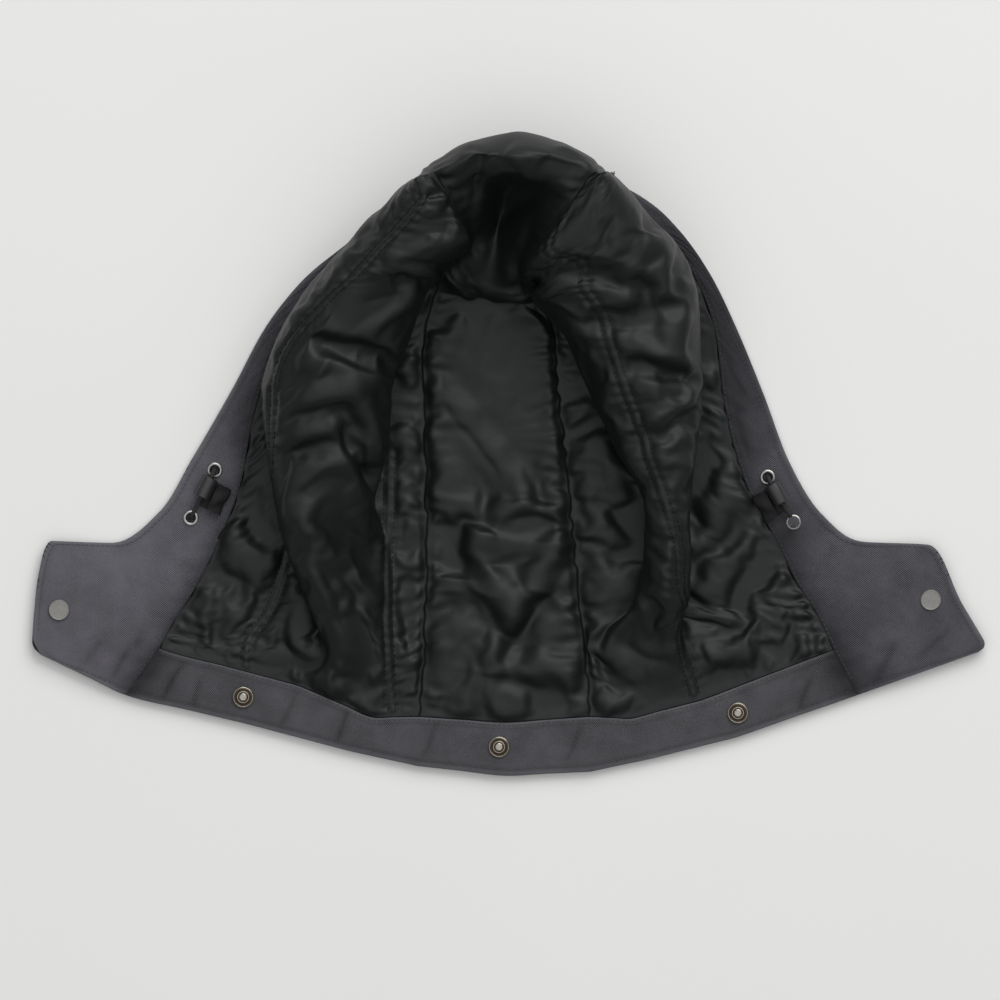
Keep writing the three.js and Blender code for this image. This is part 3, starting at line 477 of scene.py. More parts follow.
seam_rows = (ROW["neck"], ROW["facing_seam"])
seam_lines = {
    name: (*seam_rows, np.full(seam_rows[1] - seam_rows[0] + 1, float(column)))
    for name, column in (("left_seam", LEFT_SEAM), ("left_rail", LEFT_RAIL),
                         ("right_rail", RIGHT_RAIL), ("right_seam", RIGHT_SEAM))
}
quilt_lines = {name: trace(points) for name, points in QUILTING.items()}

# Main folds of each panel: the two ends in plan as shares of SPAN and REACH, then half the width and
# the depth as shares of CROWN_RISE. A depth below nought is a ridge.
FOLDS = {
    "left": [
        (-0.190, 0.165, -0.109, 0.127, 0.125, 0.057),
        (-0.169, 0.056, -0.142, -0.040, 0.136, 0.057),
        (-0.142, -0.037, -0.126, -0.072, 0.114, 0.040),
        (-0.111, 0.267, -0.080, 0.255, 0.102, 0.040),
        (-0.217, -0.002, -0.171, 0.006, 0.125, 0.028),
        (-0.223, -0.103, -0.176, -0.165, 0.136, -0.028),
        (-0.207, 0.084, -0.165, 0.099, 0.114, -0.023),
    ],
    "centre": [
        (-0.075, 0.096, 0.011, -0.059, 0.170, -0.040),
        (-0.004, -0.084, 0.066, -0.090, 0.170, -0.045),
        (-0.032, -0.141, 0.003, -0.246, 0.170, -0.051),
        (0.003, -0.246, 0.048, -0.141, 0.170, -0.045),
        (-0.082, -0.141, -0.041, -0.289, 0.170, 0.040),
        (-0.035, -0.305, 0.069, -0.351, 0.170, -0.040),
    ],
    "right": [
        (0.059, 0.295, 0.145, 0.255, 0.114, 0.045),
        (0.093, 0.208, 0.165, 0.227, 0.114, 0.040),
        (0.130, 0.137, 0.192, 0.124, 0.114, 0.040),
        (0.136, 0.022, 0.188, 0.053, 0.125, 0.028),
        (0.152, -0.071, 0.188, -0.165, 0.125, -0.023),
        (0.141, -0.165, 0.152, -0.289, 0.136, 0.034),
    ],
}
# Sharper wrinkles, in the same columns
WRINKLES = {
    "left": [
        (-0.182, 0.175, -0.120, 0.150, 0.06, 0.030), (-0.185, 0.148, -0.125, 0.120, 0.05, 0.024),
        (-0.176, 0.040, -0.160, -0.010, 0.06, 0.040), (-0.150, 0.030, -0.140, -0.060, 0.05, -0.024),
        (-0.205, 0.110, -0.175, 0.150, 0.06, -0.020), (-0.215, -0.060, -0.190, -0.090, 0.06, 0.020),
        (-0.200, -0.110, -0.160, -0.130, 0.06, 0.024), (-0.190, -0.190, -0.170, -0.270, 0.07, 0.028),
        (-0.150, 0.230, -0.110, 0.250, 0.06, 0.018), (-0.165, -0.150, -0.150, -0.230, 0.06, -0.022),
    ],
    "centre": [
        (0.000, -0.060, 0.060, -0.075, 0.06, 0.034), (0.002, -0.098, 0.062, -0.104, 0.06, 0.034),
        (-0.050, -0.110, -0.010, -0.130, 0.06, -0.028), (-0.020, -0.175, 0.030, -0.160, 0.06, 0.030),
        (-0.045, -0.200, -0.010, -0.225, 0.05, -0.026), (0.010, -0.205, 0.055, -0.225, 0.06, -0.030),
        (-0.070, -0.250, -0.020, -0.270, 0.06, 0.028), (0.000, -0.290, 0.060, -0.300, 0.06, 0.028),
        (-0.060, -0.330, 0.000, -0.345, 0.06, -0.024), (-0.072, 0.085, -0.010, -0.035, 0.08, 0.030),
        (-0.036, 0.477, -0.034, 0.387, 0.04, 0.036), (-0.022, 0.455, 0.003, 0.491, 0.04, 0.034),
        (-0.070, -0.040, -0.020, -0.070, 0.06, 0.026), (0.020, -0.010, 0.055, -0.030, 0.06, 0.026),
    ],
    "right": [
        (0.062, 0.282, 0.140, 0.245, 0.05, 0.036), (0.098, 0.195, 0.165, 0.205, 0.05, 0.034),
        (0.135, 0.125, 0.190, 0.112, 0.05, 0.034), (0.150, 0.165, 0.185, 0.150, 0.06, -0.026),
        (0.120, 0.060, 0.170, 0.075, 0.06, 0.022), (0.145, -0.010, 0.190, -0.020, 0.06, -0.024),
        (0.135, -0.110, 0.170, -0.150, 0.06, 0.026), (0.130, -0.200, 0.150, -0.280, 0.06, -0.026),
        (0.200, -0.120, 0.240, -0.230, 0.07, 0.020), (0.115, -0.300, 0.165, -0.330, 0.06, 0.026),
    ],
}
PANEL_COLUMNS = {
    "left": slice(LEFT_SEAM, LEFT_RAIL + 1),
    "centre": slice(LEFT_RAIL, RIGHT_RAIL + 1),
    "right": slice(RIGHT_RAIL, RIGHT_SEAM + 1),
}


def fold_depth(points, lines, crease):
    total = np.zeros(points.shape[:2])
    bend = 3.0 * noise(points[..., 0] / 17, points[..., 1] / 17, 5) if crease else 0
    for x0, y0, x1, y1, width, depth in lines:
        start, end = plan(x0, y0)[:2], plan(x1, y1)[:2]
        way = end - start
        square = np.array([-way[1], way[0]]) / np.linalg.norm(way)
        share = np.clip((points[..., :2] - start) @ way / (way @ way), 0, 1)
        offset = points[..., :2] - (start + share[..., None] * way)
        if crease:
            offset = offset + bend[..., None] * square
        away = np.linalg.norm(offset, axis=-1) / (width * CROWN_RISE)
        rounded = np.maximum(1 - away ** 2, 0) ** 2
        sharp = np.exp(-np.sqrt(away ** 2 + 0.01) * 1.6) * (1 - 0.6 * (2 * share - 1) ** 4)
        total += depth * CROWN_RISE * (sharp if crease else rounded)
    return total


def from_seams(columns):
    """Distance of each point of a lining panel from the nearest of its seams."""
    run = across[INSIDE_ROWS, columns]
    rise = upward[INSIDE_ROWS, columns]
    edge = np.minimum(run - run[:, :1], run[:, -1:] - run)
    return np.minimum(edge, np.minimum(rise - rise[:1], rise[-1:] - rise))


def press_folds(points, table, crease=False):
    """Presses the folds into the lining where it faces up, away from the seams."""
    normal = normals_of(points, 3)
    moved = points.copy()
    for name, columns in PANEL_COLUMNS.items():
        part, facing_up = points[INSIDE_ROWS, columns], normal[INSIDE_ROWS, columns]
        on_roll = 1 if name == "centre" else ramp(part[..., 2], PADDED_BED, 3 * PADDED_BED)
        exposed = ramp(facing_up[..., 2], 0.1, 0.5) * on_roll * ramp(from_seams(columns), 0, SEAM_VALLEY)
        depth = exposed * fold_depth(part, table[name], crease)
        moved[INSIDE_ROWS, columns] = part - facing_up * depth[..., None]
    moved[..., 2] = np.maximum(moved[..., 2], CANVAS_BED)
    return moved


# The bottom of the hollow is round, not a sharp crease
hollow = ramp(rows_at, AT["cave"], AT["wall"]) * (1 - ramp(rows_at, AT["pinch"], AT["crown"]))
arch = np.sin(np.linspace(0, math.pi, CENTRE_CELLS + 1))  # from seam to seam of the centre panel
centre_columns = PANEL_COLUMNS["centre"]
softer = blurred(surface, 60)[:, centre_columns] - surface[:, centre_columns]
surface[:, centre_columns] += softer * (hollow[:, None] * arch)[..., None]

surface = press_folds(surface, FOLDS)
creased = press_folds(surface, WRINKLES, crease=True)
surface += blurred(creased - surface, 8)
even_normals = normals_of(surface, 12)


# Thickness of the layer on the inside: wadding in the lining, thin along its seams
inside_thickness = np.full(across.shape, CANVAS)
for columns in PANEL_COLUMNS.values():
    loft = ramp(from_seams(columns), 0, SEAM_VALLEY)
    inside_thickness[INSIDE_ROWS, columns] = between(CANVAS, PADDED, loft)
hollow_rows = ramp(rows_at, AT["cave"], AT["wall"]) * (1 - ramp(rows_at, AT["crown"], AT["back"]))
hollow_columns = np.zeros(LAST + 1)
hollow_columns[centre_columns] = arch ** 0.5
inside_thickness += HOLLOW_ROOM * hollow_rows[:, None] * hollow_columns


# Lining: cloth that is cut a little too large settles between its pinned seams
GROWTH = 0.07
SIM_FRAMES = 24
SIM_STEP = 2  # cells of the grid to one of the settling cloth
LOOSENESS = 1.7  # share of the settled movement that is kept
SINK, LOFT, SLIP = -1.4, 6.0, 2.5  # furthest down, up and sideways
CALM_CENTRE = (-8.0, 34.0)  # the smooth oval at the back of the head
CALM_REACH = (40.0, 66.0)


def quads(index):
    """The faces between the points of a grid."""
    corners = [index[:-1, :-1], index[:-1, 1:], index[1:, 1:], index[1:, :-1]]
    return np.stack(corners, -1).reshape(-1, 4)


def sim_pins(rows, columns):
    """1 where seams and stitches hold the lining, and where it is hidden under a roll."""
    hold = np.zeros((len(rows), len(columns)))
    grid = np.ix_(rows, columns)
    for name, line in {**seam_lines, **quilt_lines}.items():
        distance, strength = line_field(*line)
        reach = 2.2 if name in seam_lines else DOUBLE_STITCH + 1.2
        hold = np.maximum(hold, (np.abs(distance[grid]) < reach) * strength[rows])
    hold[0], hold[-1], hold[:, 0], hold[:, -1] = 1, 1, 1, 1
    hidden = even_normals[grid][..., 2] < -0.15
    beside_crown = (columns[None] < LEFT_RAIL) | (columns[None] > RIGHT_RAIL)
    crown_end = (rows[:, None] > ROW["crown"]) & beside_crown
    return np.maximum(hold, (hidden | crown_end).astype(float))


def settle():
    """Displacement of the lining's grid, from Blender's cloth."""
    rows = np.arange(ROW["neck"], ROW["facing_seam"] + 1, SIM_STEP)
    columns = np.arange(LEFT_SEAM, RIGHT_SEAM + 1, SIM_STEP)
    base = surface[np.ix_(rows, columns)]
    count, width = base.shape[:2]
    uneven = rng.uniform(-0.25, 0.25, (count, width, 1)) * even_normals[np.ix_(rows, columns)]
    hold = sim_pins(rows, columns)
    start = (base + uneven * (1 - hold[..., None])).reshape(-1, 3) * MM
    mesh = bpy.data.meshes.new("settling")
    mesh.from_pydata(start.tolist(), [], quads(np.arange(count * width).reshape(count, width)).tolist())
    cloth = bpy.data.objects.new("settling", mesh)
    bpy.context.scene.collection.objects.link(cloth)
    group = cloth.vertex_groups.new(name="pin")
    group.add(np.flatnonzero(hold.ravel() > 0.5).tolist(), 1.0, "REPLACE")
    modifier = cloth.modifiers.new("cloth", "CLOTH")
    settings = modifier.settings
    settings.quality = 4
    settings.mass = 0.12
    settings.tension_stiffness = 12
    settings.compression_stiffness = 12
    settings.shear_stiffness = 4
    settings.bending_stiffness = 0.3
    settings.tension_damping = settings.compression_damping = settings.shear_damping = 8
    settings.air_damping = 4
    settings.effector_weights.gravity = 0
    settings.vertex_group_mass = "pin"
    settings.shrink_min = -GROWTH
    settings.use_pressure = True
    settings.uniform_pressure_force = 0.5
    modifier.collision_settings.use_collision = False
    modifier.point_cache.frame_start = 1
    modifier.point_cache.frame_end = SIM_FRAMES
    scene = bpy.context.scene
    for step in range(1, SIM_FRAMES + 1):
        scene.frame_set(step)
    settled = cloth.evaluated_get(bpy.context.evaluated_depsgraph_get())
    out = np.empty(count * width * 3)
    settled.data.vertices.foreach_get("co", out)
    bpy.data.objects.remove(cloth)
    bpy.data.meshes.remove(mesh)
    scene.frame_set(1)
    move = blurred(out.reshape(count, width, 3) / MM - base, 1)
    return rows, columns, move


def spread(rows, columns, values):
    """Values on the coarser grid, brought to every row and column of the lining."""
    all_rows = np.arange(rows[0], rows[-1] + 1)
    all_columns = np.arange(columns[0], columns[-1] + 1)
    flat = values.reshape(len(rows), -1)
    tall = np.array([np.interp(all_rows, rows, flat[:, k]) for k in range(flat.shape[1])]).T
    tall = tall.reshape(len(all_rows), len(columns), -1).transpose(1, 0, 2).reshape(len(columns), -1)
    wide = np.array([np.interp(all_columns, columns, tall[:, k]) for k in range(tall.shape[1])]).T
    return wide.reshape(len(all_columns), len(all_rows), -1).transpose(1, 0, 2)


def held_within(move, normal, low, high, side):
    """Keeps a move between low and high along the normal and within side across it."""
    out = (move * normal).sum(-1, keepdims=True)
    flat = move - out * normal
    length = np.linalg.norm(flat, axis=-1, keepdims=True)
    flat = flat * np.minimum(1, side / np.maximum(length, TINY))
    out = np.where(out > 0, high * np.tanh(out / high), low * np.tanh(out / low))
    return out * normal + flat


lining = creased
sim_rows, sim_columns, sim_move = settle()
move = spread(sim_rows, sim_columns, sim_move)
window = (slice(sim_rows[0], sim_rows[-1] + 1), slice(sim_columns[0], sim_columns[-1] + 1))
normal = normals_of(surface, 3)[window]
from_calm = (surface[..., :2] - CALM_CENTRE) / CALM_REACH
calm = np.hypot(from_calm[..., 0], from_calm[..., 1])[window]
freedom = between(0.25, 1, ramp(calm, 0.6, 1.1)) * between(0.3, 1, ramp(normal[..., 2], 0, 0.6))
lining[window] += held_within(LOOSENESS * move, normal, SINK, LOFT, SLIP) * freedom[..., None]


# Grooves and puckers along the stitched lines
def puckers(distance, run, spacing, reach, seed):
    """Small waves square to a line, of uneven height and slant, fading away from it."""
    wander = 0.45 * noise(run / 19.0, distance / 60.0 + seed, seed)
    slant = 0.9 * noise(run / 31.0, 3 * seed, seed + 1) * distance / spacing
    wave = np.cos(2 * np.pi * (run / spacing + wander + 0.35 * slant))
    height = 0.55 + 0.45 * noise(run / 11.0, np.sign(distance) * 5 + seed, seed + 2)
    return wave * height * np.exp(-np.abs(distance) / reach)


def length_up(first, last, columns):
    """Length along a seam or a quilting line, for each row."""
    rows = np.arange(first, last + 1)
    path = np.array([between(surface[i, int(c)], surface[i, min(int(c) + 1, LAST)], c - int(c))
                     for i, c in zip(rows, columns)])
    run = np.interp(np.arange(across.shape[0]), rows, length_along(path))
    return np.broadcast_to(run[:, None], across.shape)


detail = np.zeros(across.shape)
wiggle = np.zeros(across.shape)
for k, line in enumerate(seam_lines.values()):
    distance, strength = line_field(*line)
    run_up = length_up(*line)
    wiggle += 1.8 * strength * noise(run_up / 5.5, k, 51) * np.exp(-np.abs(distance) / 5)
    near = np.exp(-(distance / 3.2) ** 2)
    beside = np.exp(-np.abs(distance) / 9) * (1 - 0.8 * near)
    waves = 1.9 * puckers(distance, run_up, 8.5, 9.0, 11 + k) * (1 - near)
    detail += strength * (-1.6 * near + 0.8 * beside + waves)
for k, line in enumerate(quilt_lines.values()):
    distance, strength = line_field(*line)
    run_up = length_up(*line)
    for side in (-DOUBLE_STITCH, DOUBLE_STITCH):
        detail -= strength * 1.15 * np.exp(-((distance - side) / 1.3) ** 2)
    between_rows = np.exp(-(distance / 2.2) ** 2)
    ladder = np.cos(2 * np.pi * (run_up / 5.6 + 0.4 * noise(run_up / 14, 0, 40 + k)))
    outside = np.maximum(np.abs(distance) - DOUBLE_STITCH, 0) * np.sign(distance)
    detail += strength * (0.32 * between_rows * ladder
                          + 0.8 * puckers(outside, run_up, 6.5, 6.0, 31 + k) * (1 - between_rows))
neck_distance = upward - upward[ROW["neck"]]
detail += (-1.2 * np.exp(-(neck_distance / 3.0) ** 2)
           + 0.7 * puckers(neck_distance, across, 9.0, 7.0, 61) * (neck_distance > 0))
sideways = np.gradient(surface, axis=1)
cell = np.linalg.norm(sideways, axis=-1)
room = ramp(cell, 0.08, 0.5)  # nothing puckers where a panel runs out to a point
steady = normals_of(surface, 3)
lining += steady * (room * detail)[..., None]
lining += sideways * (room * wiggle / np.maximum(cell, TINY))[..., None]
sunk = ((lining - surface) * even_normals).sum(-1)
deepest = -np.clip(inside_thickness - 0.9, 0.25, 2.1)
lining += even_normals * np.maximum(deepest - sunk, 0)[..., None]
lining[..., 2] = np.maximum(lining[..., 2], CANVAS + LAYER_GAP + 0.6)
even_lining = blurred(lining, 1)
lining[INSIDE_ROWS] = even_lining[INSIDE_ROWS]


# Closed pieces from two layers of the grid
def layer(depth, low):
    points = surface - even_normals * depth[..., None]
    points[..., 2] = np.maximum(points[..., 2], low)
    return points


inside_under = layer(inside_thickness, CANVAS + LAYER_GAP)
shell_top = layer(inside_thickness + LAYER_GAP, CANVAS)
shell_under = layer(inside_thickness + LAYER_GAP + CANVAS, 0.0)


BORDERS = {  # each border of a patch and the line of points inside it
    "left": ((slice(None), 0), (slice(None), 3)),
    "right": ((slice(None), -1), (slice(None), -4)),
    "bottom": ((0,), (3,)),
    "top": ((-1,), (-4,)),
}


def drawn_back(points, sides, amount=SEAM_GAP / 2):
    """Moves the named borders of a patch back from its neighbours."""
    points = points.copy()
    for side in sides:
        line, inner = BORDERS[side]
        way = points[inner] - points[line]
        length = np.maximum(np.linalg.norm(way, axis=-1, keepdims=True), 1e-6)
        points[line] = points[line] + way / length * np.minimum(amount, length / 2)
    return points


def steps(count, step):
    return np.unique(np.append(np.arange(0, count, step), count - 1))


def closed_sheet(name, fine, coarse, material, nodes, coarser=COARSER, wear_and_shade=None):
    """Closed piece: a fine sheet, a coarser hidden one and a wall round both."""
    count, width = fine.shape[:2]
    rows, columns = steps(count, coarser), steps(width, coarser)
    hidden = coarse[np.ix_(rows, columns)]
    points = np.vstack([fine.reshape(-1, 3), hidden.reshape(-1, 3)]) * MM
    top = np.arange(count * width).reshape(count, width)
    low = count * width + np.arange(len(rows) * len(columns)).reshape(len(rows), len(columns))

    faces = quads(top).tolist() + quads(low)[:, ::-1].tolist()

    def wall(fine_line, coarse_line, picks, turned):
        for k in range(len(picks) - 1):
            face = [*fine_line[picks[k]:picks[k + 1] + 1][::-1], coarse_line[k], coarse_line[k + 1]]
            faces.append([int(v) for v in (face[::-1] if turned else face)])

    wall(top[0], low[0], columns, False)
    wall(top[-1], low[-1], columns, True)
    wall(top[:, 0], low[:, 0], rows, True)
    wall(top[:, -1], low[:, -1], rows, False)
    mesh = bpy.data.meshes.new(name)
    mesh.from_pydata(points.tolist(), [], faces)
    # Colour shift for the canvas shader: worn edges lighten it and painted shade darkens it
    if wear_and_shade is not None:
        values = np.zeros(len(points))
        values[:count * width] = wear_and_shade.ravel()
        mesh.attributes.new("wear_and_shade", "FLOAT", "POINT").data.foreach_set("value", values)
    work = bmesh.new()
    work.from_mesh(mesh)
    bmesh.ops.remove_doubles(work, verts=work.verts, dist=0.00002)
    bmesh.ops.recalc_face_normals(work, faces=work.faces)
    for face in work.faces:
        face.smooth = True
    work.to_mesh(mesh)
    work.free()
    return placed(mesh, name, material, nodes)


def placed(mesh, name, material, nodes):
    piece = bpy.data.objects.new(name, mesh)
    bpy.context.scene.collection.objects.link(piece)
    piece.data.materials.append(material)
    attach(piece, "root")
    if nodes:
        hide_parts(*nodes)
    return piece


# Materials
class Nodes:
    """Short calls for building one material."""

    def __init__(self, name):
        self.material = bpy.data.materials.new(name)
        self.material.use_nodes = True
        self.tree = self.material.node_tree
        self.surface = self.tree.nodes["Principled BSDF"]
        self.place = self.tree.nodes.new("ShaderNodeTexCoord").outputs["Object"]

    def add(self, kind, inputs=(), **settings):
        node = self.tree.nodes.new(kind)
        for key, value in settings.items():
            setattr(node, key, value)
        for key, value in dict(inputs).items():
            if isinstance(value, bpy.types.NodeSocket):
                self.tree.links.new(value, node.inputs[key])
            else:
                node.inputs[key].default_value = value
        return node

    def noise(self, size, detail=3.0):
        """Noise whose bumps are size millimetres across."""
        inputs = {"Vector": self.place, "Scale": 1 / (size * MM), "Detail": detail}
        return self.add("ShaderNodeTexNoise", inputs).outputs["Fac"]

    def stripes(self, spacing, turn):
        rotation = (0, 0, math.radians(turn))
        turned = self.add("ShaderNodeMapping", {"Vector": self.place, "Rotation": rotation})
        wave = self.add("ShaderNodeTexWave", {
            "Vector": turned.outputs["Vector"], "Scale": 0.314 / (spacing * MM), "Distortion": 0.6,
            "Detail": 1.0, "Detail Scale": 2.0,
        })
        return wave.outputs["Fac"]

    def math(self, operation, a, b):
        return self.add("ShaderNodeMath", {0: a, 1: b}, operation=operation).outputs[0]

    def mix_colour(self, factor, dark, light):
        mix = self.tree.nodes.new("ShaderNodeMix")
        mix.data_type = "RGBA"
        self.tree.links.new(factor, mix.inputs[0])
        mix.inputs[6].default_value = (*dark, 1)
        mix.inputs[7].default_value = (*light, 1)
        return mix.outputs[2]

    def bump(self, height, strength, distance):
        inputs = {"Height": height, "Strength": strength, "Distance": distance * MM}
        node = self.add("ShaderNodeBump", inputs)
        self.tree.links.new(node.outputs["Normal"], self.surface.inputs["Normal"])

    def set(self, **values):
        for key, value in values.items():
            socket = self.surface.inputs[key.replace("_", " ")]
            if isinstance(value, bpy.types.NodeSocket):
                self.tree.links.new(value, socket)
            else:
                socket.default_value = value


def canvas_material(name, dark, light, turn):
    """Cotton twill: fine slanting ribs, mottled dye and a little fuzz."""
    m = Nodes(name)
    ribs = m.stripes(0.95, turn)
    threads = m.noise(0.55, 2.0)
    blotches = m.noise(14.0, 4.0)
    grain = m.math("ADD", m.math("MULTIPLY", ribs, 0.45), m.math("MULTIPLY", threads, 0.55))
    # Mesh attribute: lighter where the canvas is worn, darker where shade is painted in
    wear_and_shade = m.add("ShaderNodeAttribute", attribute_name="wear_and_shade").outputs["Fac"]
    clouds = m.math("MULTIPLY", m.noise(48.0, 3.0), 0.35)
    patches = m.math("ADD", m.math("MULTIPLY", blotches, 0.5), clouds)
    tone = m.math("ADD", m.math("MULTIPLY", grain, 1.25), m.math("SUBTRACT", patches, 0.55))
    tone = m.math("ADD", tone, m.math("MULTIPLY", wear_and_shade, 0.45))
    m.set(Base_Color=m.mix_colour(tone, dark, light), Roughness=0.92, Specular_IOR_Level=0.25,
          Sheen_Weight=0.12, Sheen_Roughness=0.5)
    m.bump(grain, 0.8, 0.5)
    return m.material


def lining_material():
    """Black nylon taffeta: soft sheen, fine crinkles and a tight plain weave."""
    m = Nodes("lining_nylon")
    crinkle = m.noise(9.0, 6.0)
    fine = m.noise(2.4, 3.0)
    weave = m.math("MULTIPLY", m.stripes(0.5, 0), m.stripes(0.5, 90))
    fibres = m.math("ADD", m.math("MULTIPLY", fine, 0.2), m.math("MULTIPLY", weave, 0.08))
    height = m.math("ADD", crinkle, fibres)
    rough = m.add("ShaderNodeMapRange", {"Value": m.noise(25.0, 2.0), "To Min": 0.43, "To Max": 0.53})
    colour = m.mix_colour(m.noise(30.0, 3.0), (0.0036, 0.0046, 0.0046), (0.0072, 0.0086, 0.0086))
    m.set(Base_Color=colour, Roughness=rough.outputs["Result"], Specular_IOR_Level=0.32)
    m.bump(height, 0.35, 0.8)
    return m.material


def plain_material(name, dark, light, roughness, metallic=0.0, size=1.2, bump=0.1, gloss=0.5):
    m = Nodes(name)
    speckle = m.noise(size, 4.0)
    rough = m.add("ShaderNodeMapRange", {
        "Value": m.noise(size * 3, 2.0), "To Min": roughness * 0.8, "To Max": roughness * 1.2,
    })
    m.set(Base_Color=m.mix_colour(speckle, dark, light), Metallic=metallic,
          Roughness=rough.outputs["Result"], Specular_IOR_Level=gloss)
    m.bump(speckle, 0.3, bump)
    return m.material


CANVAS_CLOTH = canvas_material("shell_canvas", (0.022, 0.021, 0.025), (0.130, 0.126, 0.142), 45)
FACING_CLOTH = canvas_material("facing_canvas", (0.024, 0.023, 0.027), (0.150, 0.145, 0.165), -52)
BAND_CLOTH = canvas_material("band_canvas", (0.017, 0.017, 0.019), (0.118, 0.116, 0.128), 38)
LINING_CLOTH = lining_material()
THREAD = plain_material("thread", (0.030, 0.030, 0.033), (0.075, 0.074, 0.080), 0.7, size=0.6)
LINING_THREAD = plain_material("lining_thread", (0.002, 0.002, 0.002), (0.006, 0.006, 0.006), 0.7,
                               size=0.6, gloss=0.1)
SILVER = plain_material("antique_silver", (0.16, 0.14, 0.11), (0.46, 0.43, 0.38), 0.30, 1.0,
                        size=0.9, bump=0.05)
EYELET_METAL = plain_material("eyelet_silver", (0.17, 0.165, 0.155), (0.50, 0.49, 0.47), 0.30, 1.0,
                              size=0.9, bump=0.05)
# Dark metal for the rings in the studs' dish: painted shade in the grooves
GROOVE_SHADE_METAL = plain_material("painted_groove_shade", (0.012, 0.009, 0.006), (0.07, 0.05, 0.032), 0.45, 1.0)
CAP_METAL = plain_material("cap_metal", (0.17, 0.165, 0.155), (0.27, 0.265, 0.25), 0.5, 0.85)
CORD_CLOTH = plain_material("cord_elastic", (0.010, 0.010, 0.011), (0.045, 0.045, 0.047), 0.7,
                            size=0.5, bump=0.25, gloss=0.2)
LOCK_PLASTIC = plain_material("lock_plastic", (0.014, 0.014, 0.015), (0.026, 0.026, 0.028), 0.36,
                              size=2.0, bump=0.04)
TAPE_CLOTH = plain_material("tape_cloth", (0.003, 0.003, 0.003), (0.012, 0.012, 0.013), 0.5,
                            size=0.7, bump=0.2, gloss=0.22)


# Lining pieces
ALL_ROUND = ["left", "right", "bottom", "top"]
for side, columns in PANEL_COLUMNS.items():
    piece = closed_sheet(
        "quilted_lining_" + side,
        drawn_back(lining[INSIDE_ROWS, columns], ALL_ROUND),
        drawn_back(inside_under[INSIDE_ROWS, columns], ALL_ROUND),
        LINING_CLOTH, ["lining_" + side],
    )

# Canvas: gentle waves, soft edges and a groove under the topstitching
TOPSTITCH = 3.6
PAINTED_SIDE_LIGHT = {"left": 0.3, "right": -0.3}  # painted light on the left facing and painted shade on the right one, as a lighter or darker tone
PAINTED_ROLL_SHADE = 0.55  # painted shade cast by the rolls on the facings beside them
GATHER = 0.9
CANVAS_CREASES = [  # in the same columns as the folds
    (-0.415, -0.345, -0.385, -0.285, 0.030, 0.010), (-0.440, -0.330, -0.425, -0.290, 0.030, 0.008),
    (-0.385, -0.365, -0.365, -0.320, 0.026, -0.009), (-0.360, -0.385, -0.340, -0.330, 0.028, 0.010),
    (-0.330, -0.395, -0.318, -0.350, 0.026, 0.008), (-0.240, -0.420, -0.225, -0.375, 0.028, 0.008),
    (-0.180, -0.445, -0.170, -0.400, 0.030, 0.011), (-0.090, -0.475, -0.080, -0.420, 0.028, 0.007),
    (0.060, -0.480, 0.075, -0.425, 0.028, 0.008), (0.160, -0.450, 0.175, -0.400, 0.028, -0.007),
    (0.300, -0.400, 0.315, -0.350, 0.028, 0.008), (0.380, -0.360, 0.400, -0.290, 0.030, 0.009),
    (0.350, -0.340, 0.335, -0.270, 0.030, 0.009), (0.430, -0.310, 0.460, -0.270, 0.030, 0.006),
    (-0.270, 0.020, -0.262, -0.050, 0.028, 0.012), (-0.290, 0.000, -0.275, -0.060, 0.024, -0.009),
    (0.235, 0.070, 0.250, -0.010, 0.028, 0.012), (0.225, 0.150, 0.240, 0.090, 0.024, 0.010),
]


def far_from_locks(points):
    """0 by the cord locks and the snaps, which need the canvas flat, and 1 elsewhere."""
    spots = [plan(*share) for levels in EYELETS.values() for share in levels.values()]
    spots += [plan(*share) for share in (*BAND_SNAPS.values(), *FLAP_SNAPS.values())]
    away = np.min([np.hypot(points[..., 0] - s[0], points[..., 1] - s[1]) for s in spots], axis=0)
    return ramp(away, 9, 26)


def canvas_top(rows, columns, edges, seed):
    """The inside canvas of a patch. edges names the free or sewn edges that have topstitching."""
    points = surface[rows, columns].copy()
    normal = even_normals[rows, columns]
    run, rise = across[rows, columns], upward[rows, columns]
    away = {"left": run - run[:, :1], "right": run[:, -1:] - run,
            "bottom": rise - rise[:1], "top": rise[-1:] - rise}
    height = 0.35 * noise(points[..., 0] / 23, points[..., 1] / 23, seed)
    height += 0.16 * noise(points[..., 0] / 7, points[..., 1] / 7, seed + 1)
    edge = np.minimum.reduce(list(away.values()))
    for side in away:
        if side not in edges:
            length = rise if side in ("left", "right") else run
            gathers = puckers(away[side], length, 12.0, 11.0, seed + 5)
            height += GATHER * gathers * far_from_locks(points)
    creases = fold_depth(points, CANVAS_CREASES, True) * far_from_locks(points)
    sewn = np.minimum.reduce([away[side] for side in away if side not in edges])
    height += 0.5 * np.exp(-((sewn - 3.0) / 1.6) ** 2) - 0.5 * np.exp(-sewn / 1.2)
    height = np.maximum(height - 2.2 * creases, -0.9)
    height -= 0.45 * np.exp(-edge / 0.8)
    for side in edges:
        height -= 0.22 * np.exp(-((away[side] - TOPSTITCH) / 1.0) ** 2)
    points += normal * (height * ramp(edge, -0.1, 1.5) - 0.15)[..., None]
    # Colour shift: lighter along the free edges, where the canvas is worn, and a little darker along the
    # topstitching. The darkening towards the sewn edges and along the creases is painted shade.
    free = np.minimum.reduce([away[side] for side in edges])
    wear_and_shade = 0.9 * np.exp(-free / 1.6) - 0.35 * np.exp(-((free - TOPSTITCH) / 1.2) ** 2)
    wear_and_shade -= 1.5 * np.exp(-sewn / 8) + np.maximum(creases, 0)
    return points, wear_and_shade


